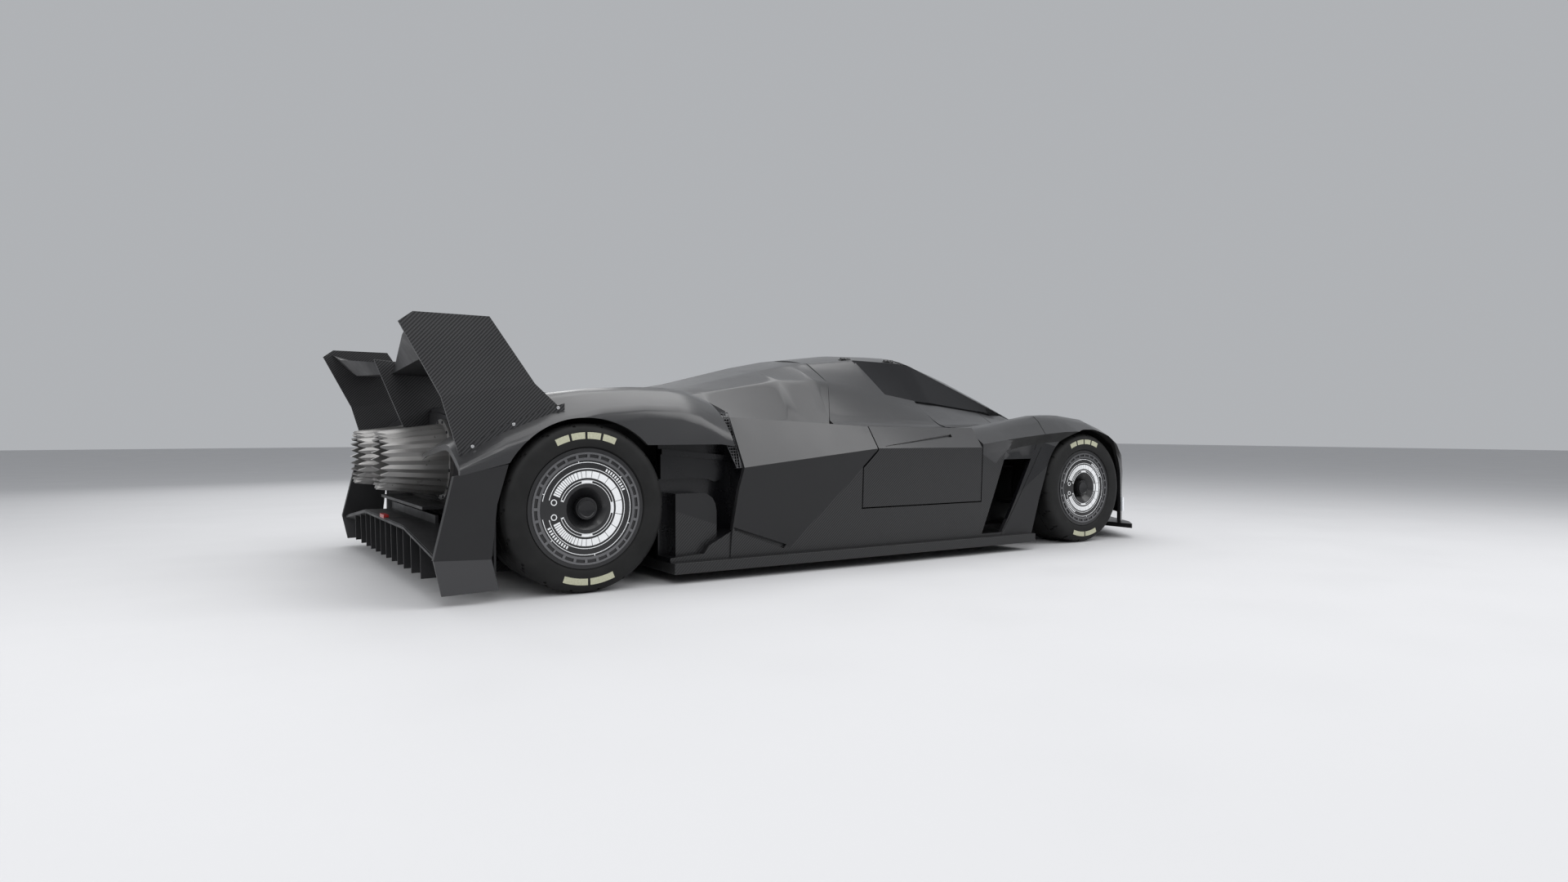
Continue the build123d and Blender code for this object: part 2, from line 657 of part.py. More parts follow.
def nose_intake(margin):
    """Room of the intake in the wing's front, with a margin round its opening."""
    x0, x1, y0, y1, low, high = NOSE_INTAKE
    return block(x0, x1, y0 - margin, y1 + margin, low - margin, high + margin)


def front_grille_right():
    """Slatted grille in the nose intake, its frame seated behind the wing's skin."""
    x0, x1, y0, y1, low, high = NOSE_INTAKE
    depth = block(x0, x0 + GRILLE_DEPTH, y0 - GRILLE_RIM, y1 + GRILLE_RIM, 0, SHOULDER_Y)
    grille = (nose_intake(GRILLE_RIM) - nose_intake(0)) & depth
    for i in range(SLATS):
        z = low + (high - low) * (i + 0.5) / SLATS
        grille += block(x0, x0 + SLAT_T * 3, y0, y1, z, z + SLAT_T)
    grille -= front_fender_right()
    return grille.solids().sort_by(SortBy.VOLUME)[-1]


def front_fender_right():
    """Front wing from the door to the nose, over the steered wheel."""
    stations = []
    for x, valley, valley_z, crown, crown_z, shoulder, out_z, under, under_z, foot in FRONT_WING_ROWS:
        inner_y, inner_z = wing_inner(x)
        line = [(foot - BODY_HALF, TRAY_TOP), (under - BODY_HALF, under_z), (shoulder - BODY_HALF, out_z),
                (crown - BODY_HALF, crown_z + 4), (valley - BODY_HALF, valley_z), (-inner_y, inner_z)]
        stations.append((x, band(rounded(line, (0, 0, 90, 80)), FLANK)))
    shell = loft_yz(stations)
    shell -= plate_xz(DUCT, 120 - BODY_HALF, -BODY_HALF)
    shell -= plate_xz(ARCH_TAIL, 120 - BODY_HALF, -BODY_HALF)
    shell -= nose_intake(0)
    arch = None
    for dx in (-FRONT_ARCH_SHIFT, FRONT_ARCH_SHIFT):
        disc = rod((FRONT_AXLE_X + dx, -1100, FRONT_TYRE_R),
                   (FRONT_AXLE_X + dx, -FRONT_WELL_Y, FRONT_TYRE_R), FRONT_ARCH_R)
        arch = disc if arch is None else arch + disc
    arch += block(FRONT_AXLE_X - FRONT_ARCH_SHIFT, FRONT_AXLE_X + FRONT_ARCH_SHIFT, -1100,
                  -FRONT_WELL_Y, 0, FRONT_TYRE_R + FRONT_ARCH_R)
    side = FRONT_ARCH_R + FRONT_ARCH_SHIFT
    arch += block(FRONT_AXLE_X - side, FRONT_AXLE_X + side, -1100, -570, 0, FRONT_TYRE_R)
    return shell - arch - nose_cover() - block(DOOR_FRONT_X, NOSE_TIP_X, -BODY_HALF, 0, 0, TRAY_TOP)


# ---------------------------------------------------------------- fins and rear wing
OUTER_FIN_Y = (BODY_HALF - 65, BODY_HALF - 55)
FIN_FOLD = [(-2058, 711), (-1733, 762)]
FIN_BLADE = [(-2190, 962), (-2144, 997), (-1889, 995)] + FIN_FOLD[::-1]
FIN_FOOT = FIN_FOLD + [(-1600, 640), (-1990, 480)]
FIN_LEAN = 4                # inward lean of the blade, degrees
CENTRE_FIN_T = 12
CENTRE_FIN = [(-2110, 894), (-2026, 887), (-1500, 790), (-1050, 720), (-1300, 700),
              (-1880, 600), (-1993, 608)]


def outer_fin_right():
    """Upright carbon fin standing on the rear wing's shoulder."""
    low = plate_xz(FIN_FOOT, -OUTER_FIN_Y[0], -OUTER_FIN_Y[1]) - rear_fender_right()
    low = low.solids().sort_by(SortBy.VOLUME)[-1]
    top = plate_xz(FIN_BLADE, -OUTER_FIN_Y[0], -OUTER_FIN_Y[1])
    (x0, z0), (x1, z1) = FIN_FOLD
    fold = Axis((x0, -OUTER_FIN_Y[1], z0), (x1 - x0, 0, z1 - z0))
    return low + top.rotate(fold, -FIN_LEAN)


def centre_fin():
    """Carbon fin along the spine of the engine cover."""
    fin = plate_xz(CENTRE_FIN, -CENTRE_FIN_T / 2, CENTRE_FIN_T / 2)
    fin = fin - engine_cover() - tail_panel()
    return fin.solids().sort_by(SortBy.VOLUME)[-1]


# Rear aerofoil sections. Columns: y, trailing x and z, lower x and z, leading x and z.
AEROFOIL = [
    (CENTRE_FIN_T / 2, -2025, 880, -2039, 835, -1780, 850),
    (731, -2137, 935, -2064, 860, -1870, 885),
    (OUTER_FIN_Y[0], -2150, 975, -2075, 900, -1890, 925),
]


WING_NOSE = 8               # half-thickness of the aerofoil's leading edge
WING_CAMBER = 8


def rear_wing():
    """V-shaped aerofoil between the three fins."""
    stations = []
    for y, tx, tz, lx, lz, nx, nz in AEROFOIL:
        under = ((lx + nx) / 2, (lz + nz) / 2 - WING_CAMBER - WING_NOSE)
        over = ((tx + nx) / 2, (tz + nz) / 2 - WING_CAMBER)
        nose = [(nx - WING_NOSE, nz - 2 * WING_NOSE), (nx, nz - WING_NOSE), (nx - WING_NOSE, nz)]
        stations.append((-y, [(tx, tz), (lx, lz), under] + nose + [over]))
    wing = loft_xz(stations) - outer_fin_right()
    return pair(wing.solids().sort_by(SortBy.VOLUME)[-1])


# ---------------------------------------------------------------- tail
CORNER_T = 30
CORNER = [(-2030, 440), (-1845, 478), (-1885, 340), (-1905, 152), (-2097, 159)]
WINGLET = [(-2097, 159), (-1905, 152), (-1881, 43), (-2071, 39)]


def rear_corner_right():
    """Plate behind the rear wheel with its winglet below."""
    plate = plate_xz(CORNER, -BODY_HALF, -BODY_HALF + CORNER_T)
    winglet = plate_xz(WINGLET, -BODY_HALF, -BODY_HALF + 12)
    return plate + winglet - rear_fender_right()


NOZZLE_Y, NOZZLE_Z = 263, 476
NOZZLE_FRONT_X, NOZZLE_REAR_X = -1888, -2148
NOZZLE_FRONT_R, NOZZLE_REAR_R = 148, 115
NOZZLE_WALL = 6
NOZZLE_BORE_R = 135
FLANGE_R = 165
FLANGE_T = 12
RIBS = 24
RIB_DEPTH = 7
TOOTH = 34                  # length of the points at the nozzle's rear end


def star(x, radius, depth):
    """A ring of ribs seen from the end: tips at the radius, valleys a rib's depth inside."""
    points = []
    for i in range(2 * RIBS):
        angle = math.pi * i / RIBS
        r = radius if i % 2 == 0 else radius - depth
        points.append((r * math.cos(angle), r * math.sin(angle)))
    return face_yz(x, points)


def nozzle_right():
    """Ribbed exhaust nozzle with pointed rear teeth and its fixing flange."""
    cone = loft([star(NOZZLE_FRONT_X, NOZZLE_FRONT_R, RIB_DEPTH / 2),
                 star(NOZZLE_REAR_X, NOZZLE_REAR_R, RIB_DEPTH)], ruled=True)
    wall = NOZZLE_WALL + RIB_DEPTH
    bore = loft([Plane.YZ.offset(NOZZLE_FRONT_X) * Circle(NOZZLE_FRONT_R - wall),
                 Plane.YZ.offset(NOZZLE_REAR_X) * Circle(NOZZLE_REAR_R - wall)])
    cone -= bore
    half = math.pi * NOZZLE_REAR_R / RIBS
    notch = plate_xy([(NOZZLE_REAR_X - 1, -half), (NOZZLE_REAR_X + TOOTH, 0),
                      (NOZZLE_REAR_X - 1, half)], 60, NOZZLE_REAR_R + 30)
    for i in range(RIBS):
        cone -= Rot(360 * (i + 0.5) / RIBS, 0, 0) * notch
    flange = extrude(Plane.YZ.offset(NOZZLE_FRONT_X) * Circle(FLANGE_R), amount=-FLANGE_T)
    flange -= extrude(Plane.YZ.offset(NOZZLE_FRONT_X) * Circle(NOZZLE_FRONT_R - wall), amount=-FLANGE_T)
    return Pos(0, -NOZZLE_Y, NOZZLE_Z) * (cone + flange)


TAIL_PANEL_X = NOZZLE_FRONT_X
TAIL_PANEL_T = 8


def tail_panel():
    """Rear closing panel that carries the nozzles, with a ledge below them."""
    side = SIDE_FOOT
    half = [(0, 105), (-440, 105), (-side, 85), (-side, 470), (-seam_y(TAIL_PANEL_X), 590),
            (-320, 655), (-180, 668), (0, 674)]
    outline = half + [(-y, z) for y, z in half[-2:0:-1]]
    panel = plate_yz(outline, TAIL_PANEL_X, TAIL_PANEL_X + TAIL_PANEL_T)
    hole = extrude(Plane.YZ.offset(TAIL_PANEL_X - 5) * Circle(NOZZLE_BORE_R), amount=30)
    panel -= Pos(0, -NOZZLE_Y, NOZZLE_Z) * hole
    panel -= Pos(0, NOZZLE_Y, NOZZLE_Z) * hole
    ledge = block(TAIL_PANEL_X - 120, TAIL_PANEL_X, -430, 430, 285, 297)
    fender = rear_fender_right()
    panel = panel + ledge - fender - flip(fender) - diffuser()
    return panel.solids().sort_by(SortBy.VOLUME)[-1]


DIFFUSER_KINK_X, DIFFUSER_END_X = -1885, -2081
# Diffuser roof. Columns: x, flat half-width, roof z, outer half-width, outer z.
DIFFUSER = [
    (TRAY_REAR_X, 440, 60, WELL_HALF, 60),
    (DIFFUSER_KINK_X, 440, 110, BODY_HALF - 120, 92),
    (DIFFUSER_END_X, 440, 225, BODY_HALF - 32, 158),
]
DIFFUSER_T = 10
STRAKE_YS = (60, 180, 300, 420, 560, 720)
STRAKE_T = 6
STRAKE_FOOT_Z = 60


def diffuser():
    """Rising diffuser roof with its upright strakes."""
    stations = []
    below = []
    for x, flat, roof, outer, outer_z in DIFFUSER:
        half = [(-outer, outer_z), (-flat, roof)]
        line = half + [(flat, roof), (outer, outer_z)]
        stations.append((x, band(line, DIFFUSER_T)))
        sunk = [(y, z - DIFFUSER_T / 2) for y, z in line]
        below.append((x, sunk + [(outer, 0), (-outer, 0)]))
    roof = loft_yz(stations)
    room = loft_yz(below)
    for y in STRAKE_YS:
        front = TRAY_REAR_X if y < WELL_HALF else DIFFUSER_KINK_X - 15
        foot = STRAKE_FOOT_Z - 12 if y < WELL_HALF else STRAKE_FOOT_Z
        strake = plate_xz([(front, foot), (DIFFUSER_KINK_X, STRAKE_FOOT_Z),
                           (DIFFUSER_END_X + 6, STRAKE_FOOT_Z), (DIFFUSER_END_X, 300), (front, 300)],
                          -y - STRAKE_T / 2, -y + STRAKE_T / 2)
        roof += both(strake & room)
    return roof


LAMP_T = 20
BRAKE_LAMP_Z = DIFFUSER[-1][2] - DIFFUSER_T


def tail_lamps():
    """Brake lamp on the diffuser and two small lamps beside the nozzles."""
    brake = block(DIFFUSER_END_X, DIFFUSER_END_X + LAMP_T, -45, 45, BRAKE_LAMP_Z, BRAKE_LAMP_Z + 25)
    brake -= diffuser()
    small = block(TAIL_PANEL_X - 10, TAIL_PANEL_X, -490, -450, 500, 512)
    return Compound(children=list(brake.solids()) + list(pair(small).solids()))


def headlamps():
    """Upright light strips on the front wings' outer corners."""
    lamp = block(1594, 1606, -908, -888, 146, 222) - front_fender_right()
    return pair(lamp.solids().sort_by(SortBy.VOLUME)[-1])


# ---------------------------------------------------------------- running gear
def engine_block():
    """Mid-mounted engine and gearbox, one plain block."""
    return block(-1250, -560, -260, 260, TRAY_TOP, 540)


GEAR_HALF = 260
UPRIGHT_Y = 800
REAR_SPINDLE_R, FRONT_SPINDLE_R = 30, 25
REAR_HUB_R, FRONT_HUB_R = 75, 65


def rear_upright_right():
    """Cast upright with the bearing spindle of the rear wheel."""
    body = block(REAR_AXLE_X - 45, REAR_AXLE_X + 45, -UPRIGHT_Y, -UPRIGHT_Y + 50,
                 REAR_TYRE_R - 125, REAR_TYRE_R + 125)
    spindle = rod((REAR_AXLE_X, -UPRIGHT_Y + 10, REAR_TYRE_R), (REAR_AXLE_X, -930, REAR_TYRE_R),
                  REAR_SPINDLE_R)
    return body + spindle


def rear_suspension_right():
    """Gearbox-side frame, wishbones and driveshaft of the rear axle."""
    inner_y = -GEAR_HALF + 0
    frame = block(REAR_AXLE_X - 190, REAR_AXLE_X + 190, -GEAR_HALF, 0, TRAY_TOP, 470)
    arms = frame
    for z in (REAR_TYRE_R - 105, REAR_TYRE_R + 105):
        for dx in (-160, 160):
            arms += rod((REAR_AXLE_X + dx, inner_y + 10, z), (REAR_AXLE_X, -UPRIGHT_Y + 50, z), 13)
    arms += rod((REAR_AXLE_X, inner_y + 10, REAR_TYRE_R),
                (REAR_AXLE_X, -UPRIGHT_Y + 50, REAR_TYRE_R), 22)
    return arms - rear_upright_right()


EYE_Z = 95                  # arm eyes above and below the front axle
EYE_R, EYE_H = 26, 24
KINGPIN_R = 14
FRONT_FRAME_HALF = 449


def front_suspension_right():
    """Front wishbones whose outer eyes carry the kingpin."""
    arms = None
    for side in (-1, 1):
        z = FRONT_TYRE_R + side * EYE_Z
        eye = Pos(FRONT_AXLE_X, -KINGPIN_Y, z) * Cylinder(EYE_R, EYE_H)
        leg = eye
        for dx in (-120, 120):
            leg += rod((FRONT_AXLE_X + dx, -NOSE_HALF + 10, z), (FRONT_AXLE_X, -KINGPIN_Y, z), 11)
        leg -= Pos(FRONT_AXLE_X, -KINGPIN_Y, z) * Cylinder(KINGPIN_R + RUN_FIT, EYE_H * 2)
        arms = leg if arms is None else arms + leg
    arms -= block(FRONT_AXLE_X - 200, FRONT_AXLE_X + 200, -NOSE_HALF, 0, 0, 600)
    return Compound(children=list(arms.solids()))


def front_knuckle_right():
    """Steering knuckle: kingpin, body and wheel spindle."""
    pin = Pos(FRONT_AXLE_X, -KINGPIN_Y, FRONT_TYRE_R) * Cylinder(KINGPIN_R, 2 * EYE_Z + EYE_H)
    body = block(FRONT_AXLE_X - 35, FRONT_AXLE_X + 35, -KINGPIN_Y - 30, -KINGPIN_Y + 30,
                 FRONT_TYRE_R - EYE_Z + EYE_H / 2 + 1, FRONT_TYRE_R + EYE_Z - EYE_H / 2 - 1)
    spindle = rod((FRONT_AXLE_X, -KINGPIN_Y, FRONT_TYRE_R), (FRONT_AXLE_X, -905, FRONT_TYRE_R),
                  FRONT_SPINDLE_R)
    return pin + body + spindle


def ring(x, z, y0, y1, outer, inner=0):
    """A disc or ring about the wheel's axis."""
    shape = rod((x, y0, z), (x, y1, z), outer)
    if inner:
        shape -= rod((x, y0, z), (x, y1, z), inner)
    return shape


# Wheels. Columns: name, axle x, tyre radius, tyre width, rim radius, outer face y,
# hub inner y, spindle end y, spindle radius, hub radius.
REAR = (REAR_AXLE_X, REAR_TYRE_R, REAR_TYRE_W, REAR_RIM_R, REAR_FACE_Y, 850, 932,
        REAR_SPINDLE_R, REAR_HUB_R)
FRONT = (FRONT_AXLE_X, FRONT_TYRE_R, FRONT_TYRE_W, FRONT_RIM_R, FRONT_FACE_Y, 840, 907,
         FRONT_SPINDLE_R, FRONT_HUB_R)
RIM_WALL = 16
FACE_RECESS = 8
FACE_T = 14                 # thickness of the aero disc
CONE_R = 78                 # the dished centre of the disc
CONE_DEPTH = 34
CAP_R = 40


def wheel_right(spec):
    """Wheel: barrel, closed aero face and hub with its bearing bore."""
    x, tyre_r, width, rim_r, face_y, hub_y, pin_y, pin_r, hub_r = spec
    z = tyre_r
    outer = -(face_y - FACE_RECESS)
    inner = -(face_y - width + 6)
    barrel = ring(x, z, outer, inner, rim_r, rim_r - RIM_WALL)
    lip, floor_y, back = outer, outer + CONE_DEPTH, FACE_T + CONE_DEPTH
    profile = [(rim_r - RIM_WALL + 1, lip), (CONE_R, lip), (CAP_R, floor_y), (CAP_R, lip + 4), (0, lip + 4),
               (0, lip + back), (CAP_R + FACE_T, lip + back), (CONE_R + FACE_T, lip + FACE_T),
               (rim_r - RIM_WALL + 1, lip + FACE_T)]
    face = Pos(x, 0, z) * revolve(Plane.XY * make_face(Polyline(*profile, close=True)), axis=Axis.Y)
    hub = ring(x, z, lip + back - 1, -hub_y, hub_r)
    bore = rod((x, -hub_y + 1, z), (x, -pin_y, z), pin_r + RUN_FIT)
    return barrel + face + hub - bore


TYRE_SHOULDER = 26


def tyre_right(spec):
    """Slick tyre: tread, rounded shoulders and two sidewalls."""
    x, tyre_r, width, rim_r, face_y = spec[:5]
    half = width / 2
    bulge = 10
    profile = [(rim_r, -half + bulge), (rim_r + 30, -half), (tyre_r - TYRE_SHOULDER, -half),
               (tyre_r - 6, -half + 14), (tyre_r, -half + TYRE_SHOULDER + 8),
               (tyre_r, half - TYRE_SHOULDER - 8), (tyre_r - 6, half - 14),
               (tyre_r - TYRE_SHOULDER, half), (rim_r + 30, half), (rim_r, half - bulge)]
    face = Plane.XY * make_face(Polyline(*profile, close=True))
    body = revolve(face, axis=Axis.Y, revolution_arc=360)
    return Pos(x, -(face_y - half), tyre_r) * body


# ---------------------------------------------------------------- cabin
def seats():
    """Two reclined bucket seats."""
    seat = plate_xz([(-180, 130), (420, 130), (420, 260), (330, 285), (60, 215), (-130, 720),
                     (-180, 720)], -400, -60)
    pan = plate_xz([(-182, TRAY_TOP + 20), (380, TRAY_TOP + 20), (380, 130), (-182, 130)], -380, -80)
    return pair(seat + pan)


WHEEL_X, WHEEL_Y, WHEEL_Z = 600, 230, 560
COLUMN_R = 12


def steering_wheel():
    """Open-topped steering wheel on its shaft."""
    rim = ring_x(WHEEL_X, 150, 128, 26)
    gap = block(WHEEL_X - 40, WHEEL_X + 40, WHEEL_Y - 105, WHEEL_Y + 105, WHEEL_Z + 60, WHEEL_Z + 200)
    spokes = block(WHEEL_X - 13, WHEEL_X + 13, WHEEL_Y - 135, WHEEL_Y + 135, WHEEL_Z - 22, WHEEL_Z + 22)
    hub = ring_x(WHEEL_X, 60, 0, 40)
    shaft = rod((WHEEL_X, WHEEL_Y, WHEEL_Z), (WHEEL_X + 90, WHEEL_Y, WHEEL_Z), COLUMN_R)
    return (rim - gap) + spokes + hub + shaft


def ring_x(x, outer, inner, thickness):
    """A ring about the steering column's axis."""
    shape = rod((x - thickness / 2, WHEEL_Y, WHEEL_Z), (x + thickness / 2, WHEEL_Y, WHEEL_Z), outer)
    if inner:
        shape -= rod((x - thickness / 2, WHEEL_Y, WHEEL_Z), (x + thickness / 2, WHEEL_Y, WHEEL_Z),
                     inner)
    return shape


def column_tube():
    """Fixed tube that carries the steering shaft."""
    tube = rod((WHEEL_X + 40, WHEEL_Y, WHEEL_Z), (WHEEL_X + 180, WHEEL_Y, WHEEL_Z), 24)
    return tube - rod((WHEEL_X + 40, WHEEL_Y, WHEEL_Z), (WHEEL_X + 92, WHEEL_Y, WHEEL_Z),
                      COLUMN_R + RUN_FIT)


def dashboard():
    """Dashboard across the tub with the steering column's tube."""
    dash = plate_xz([(700, 430), (800, 400), (978, 400), (978, 600), (860, 640), (720, 610)],
                    -CABIN_HALF, CABIN_HALF)
    dash -= rod((WHEEL_X + 40, WHEEL_Y, WHEEL_Z), (WHEEL_X + 180, WHEEL_Y, WHEEL_Z), 23)
    return dash + column_tube()


# ---------------------------------------------------------------- pieces
SINGLE = {
    "floor_tray": floor_tray,
    "front_splitter": front_splitter,
    "chassis_tub": chassis_tub,
    "nose_cover": nose_cover,
    "windscreen": windscreen,
    "roof_panel": roof_panel,
    "engine_cover": engine_cover,
    "centre_fin": centre_fin,
    "rear_wing": rear_wing,
    "tail_panel": tail_panel,
    "diffuser": diffuser,
    "tail_lamps": tail_lamps,
    "headlamps": headlamps,
    "engine_block": engine_block,
    "seats": seats,
    "dashboard": dashboard,
    "steering_wheel": steering_wheel,
}
PAIRED = {
    "outer_fins": outer_fin_right,
    "rear_corners": rear_corner_right,
    "exhaust_nozzles": nozzle_right,
    "front_grilles": front_grille_right,
    "rear_uprights": rear_upright_right,
}
SIDED = {
    "door": door_right,
    "window": window_right,
    "side_pod": side_pod_right,
    "rear_fender": rear_fender_right,
    "front_fender": front_fender_right,
    "front_knuckle": front_knuckle_right,
}
WHEELS = {"front": FRONT, "rear": REAR}

for name, make in SINGLE.items():
    save(name, make())
for name, make in PAIRED.items():
    save(name, pair(make()))
for name, make in SIDED.items():
    piece = make()
    save(f"{name}_right", piece)
    save(f"{name}_left", flip(piece))
save("rear_suspension", both(rear_suspension_right()))
save("front_suspension", pair(front_suspension_right()))
for end, spec in WHEELS.items():
    wheel, tyre = wheel_right(spec), tyre_right(spec)
    save(f"wheel_{end}_right", wheel)
    save(f"wheel_{end}_left", flip(wheel))
    save(f"tyre_{end}_right", tyre)
    save(f"tyre_{end}_left", flip(tyre))
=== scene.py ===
import json
import math

import bpy
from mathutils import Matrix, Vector

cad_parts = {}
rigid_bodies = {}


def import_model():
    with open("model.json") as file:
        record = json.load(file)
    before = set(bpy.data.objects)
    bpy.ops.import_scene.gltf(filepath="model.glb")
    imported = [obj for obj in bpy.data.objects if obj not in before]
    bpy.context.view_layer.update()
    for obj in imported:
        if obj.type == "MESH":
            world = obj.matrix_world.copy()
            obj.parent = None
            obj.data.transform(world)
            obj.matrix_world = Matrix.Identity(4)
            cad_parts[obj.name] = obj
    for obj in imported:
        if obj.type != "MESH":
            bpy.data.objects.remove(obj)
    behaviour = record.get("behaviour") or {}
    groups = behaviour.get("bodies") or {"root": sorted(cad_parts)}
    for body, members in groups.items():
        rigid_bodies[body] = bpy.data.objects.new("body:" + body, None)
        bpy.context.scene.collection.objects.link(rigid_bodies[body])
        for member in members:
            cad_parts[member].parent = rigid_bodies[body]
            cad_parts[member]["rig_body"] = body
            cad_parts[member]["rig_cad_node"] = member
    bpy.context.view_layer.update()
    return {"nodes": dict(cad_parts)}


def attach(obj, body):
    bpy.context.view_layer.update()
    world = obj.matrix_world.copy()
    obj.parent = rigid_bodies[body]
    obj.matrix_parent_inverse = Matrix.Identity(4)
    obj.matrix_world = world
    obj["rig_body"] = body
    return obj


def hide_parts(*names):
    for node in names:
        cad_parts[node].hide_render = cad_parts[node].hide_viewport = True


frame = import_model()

# ---------------------------------------------------------------- floor tray
# The floor tray is one flat carbon moulding under the whole car, with its side skirts
# standing out past the doors. Four skid blocks are bonded on from below.


def only(*pieces):
    """Selects these pieces and nothing else, outside edit mode."""
    if bpy.context.mode != "OBJECT":
        bpy.ops.object.mode_set(mode="OBJECT")
    bpy.ops.object.select_all(action="DESELECT")
    for piece in pieces:
        piece.select_set(True)
    bpy.context.view_layer.objects.active = pieces[0]


def pick(piece, test):
    """Opens a piece for editing with only the faces that pass the test selected."""
    only(piece)
    bpy.ops.object.mode_set(mode="EDIT")
    bpy.ops.mesh.select_mode(type="FACE")
    bpy.ops.mesh.select_all(action="DESELECT")
    bpy.ops.object.mode_set(mode="OBJECT")
    for face in piece.data.polygons:
        face.select = bool(test(face))
    bpy.ops.object.mode_set(mode="EDIT")


def done(piece, name, finish, body, smooth=35):
    """Settles a finished piece: its place goes into its mesh, and it rides on its body."""
    only(piece)
    bpy.ops.object.transform_apply(location=True, rotation=True, scale=True)
    if smooth:
        bpy.ops.object.shade_smooth_by_angle(angle=math.radians(smooth))
    else:
        bpy.ops.object.shade_flat()
    piece.name = name
    piece.data.name = name
    piece.data.materials.clear()
    piece.data.materials.append(finish)
    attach(piece, body)
    return piece


def moulding(node, finish, smooth=32, edge=0.0):
    """A welded copy of a CAD moulding, smooth over its curves, that stands for it."""
    solid = frame["nodes"][node]
    body = solid["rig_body"]
    only(solid)
    bpy.ops.object.duplicate()
    piece = bpy.context.view_layer.objects.active
    piece.parent = None
    del piece["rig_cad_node"]
    bpy.ops.object.mode_set(mode="EDIT")
    bpy.ops.mesh.select_all(action="SELECT")
    bpy.ops.mesh.remove_doubles(threshold=0.00002)
    bpy.ops.mesh.customdata_custom_splitnormals_clear()
    bpy.ops.object.mode_set(mode="OBJECT")
    if edge:
        bevel = piece.modifiers.new("edge", "BEVEL")
        bevel.width = edge
        bevel.segments = 2
        bevel.limit_method = "ANGLE"
        bevel.angle_limit = math.radians(40)
        bpy.ops.object.modifier_apply(modifier="edge")
    done(piece, node + "_skin", finish, body, smooth)
    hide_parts(node)
    return piece


def finish_of(name, colour, rough, metal=0.0, coat=0.0, coat_rough=0.03, specular=0.5):
    """A new surface finish, with its node tree and its shader."""
    finish = bpy.data.materials.new(name)
    finish.use_nodes = True
    tree = finish.node_tree
    shader = tree.nodes["Principled BSDF"]
    shader.inputs["Base Color"].default_value = (*colour, 1)
    shader.inputs["Roughness"].default_value = rough
    shader.inputs["Metallic"].default_value = metal
    shader.inputs["Coat Weight"].default_value = coat
    shader.inputs["Coat Roughness"].default_value = coat_rough
    shader.inputs["Specular IOR Level"].default_value = specular
    return finish, tree, shader


def node(tree, kind, **values):
    """A shader node; its inputs are given by name or by number, its settings in lower case."""
    made = tree.nodes.new("ShaderNode" + kind)
    for key, value in values.items():
        if key.startswith("in_"):
            place = int(key[3:]) if key[3:].isdigit() else key[3:].replace("_", " ")
            if isinstance(value, bpy.types.NodeSocket):
                tree.links.new(value, made.inputs[place])
            else:
                made.inputs[place].default_value = value
        else:
            setattr(made, key, value)
    return made


def blotches(tree, scale, low, high):
    """Slow uneven change over the surface, from low to high."""
    place = node(tree, "TexCoord").outputs["Object"]
    noise = node(tree, "TexNoise", in_Vector=place, in_Scale=scale, in_Detail=4.0)
    span = node(tree, "MapRange", in_Value=noise.outputs[0], in_1=0.3, in_2=0.7, in_3=low,
                in_4=high)
    return span.outputs[0]


def uneven_gloss(tree, shader, scale, low, high):
    """Roughness that drifts slowly over the surface, from low to high."""
    tree.links.new(blotches(tree, scale, low, high), shader.inputs["Roughness"])


def tint(tree, shader, amount, first, second):
    """Mixes two colours over the surface by a value."""
    mix = node(tree, "Mix", data_type="RGBA", in_0=amount, in_6=(*first, 1), in_7=(*second, 1))
    tree.links.new(mix.outputs[2], shader.inputs["Base Color"])


def relief(tree, shader, strength, depth, height):
    """Raises the surface by a value, for grain or weave."""
    bump = node(tree, "Bump", in_Strength=strength, in_Distance=depth, in_Height=height)
    tree.links.new(bump.outputs[0], shader.inputs["Normal"])


# Width of one tow of the carbon cloth.
TOW = 0.0095


def twill_finish(name, dark, light, rough):
    """Carbon cloth: tows that cross in diagonal steps under clear resin."""
    finish, tree, shader = finish_of(name, dark, rough, coat=0.2, coat_rough=0.12, specular=0.35)
    place = node(tree, "TexCoord").outputs["Object"]
    turn = math.tau / TOW / 1.414
    rows = node(tree, "VectorMath", operation="DOT_PRODUCT", in_0=place, in_1=(turn, turn, -turn))
    wave = node(tree, "Math", operation="SINE", in_0=rows.outputs["Value"])
    cross = node(tree, "VectorMath", operation="DOT_PRODUCT", in_0=place,
                 in_1=(turn * 2, -turn * 2, turn * 2))
    tows = node(tree, "Math", operation="SINE", in_0=cross.outputs["Value"])
    both = node(tree, "Math", operation="MULTIPLY_ADD", in_0=tows.outputs[0], in_1=0.25,
                in_2=wave.outputs[0])
    level = node(tree, "MapRange", in_Value=both.outputs[0], in_1=-0.6, in_2=0.8)
    tint(tree, shader, level.outputs[0], dark, light)
    relief(tree, shader, 0.25, 0.0004, both.outputs[0])
    uneven_gloss(tree, shader, 6, rough - 0.05, rough + 0.08)
    return finish


twill = twill_finish("carbon_twill", (0.003, 0.003, 0.0035), (0.024, 0.024, 0.025), 0.40)
moulding("floor_tray", twill, smooth=0, edge=0.002)

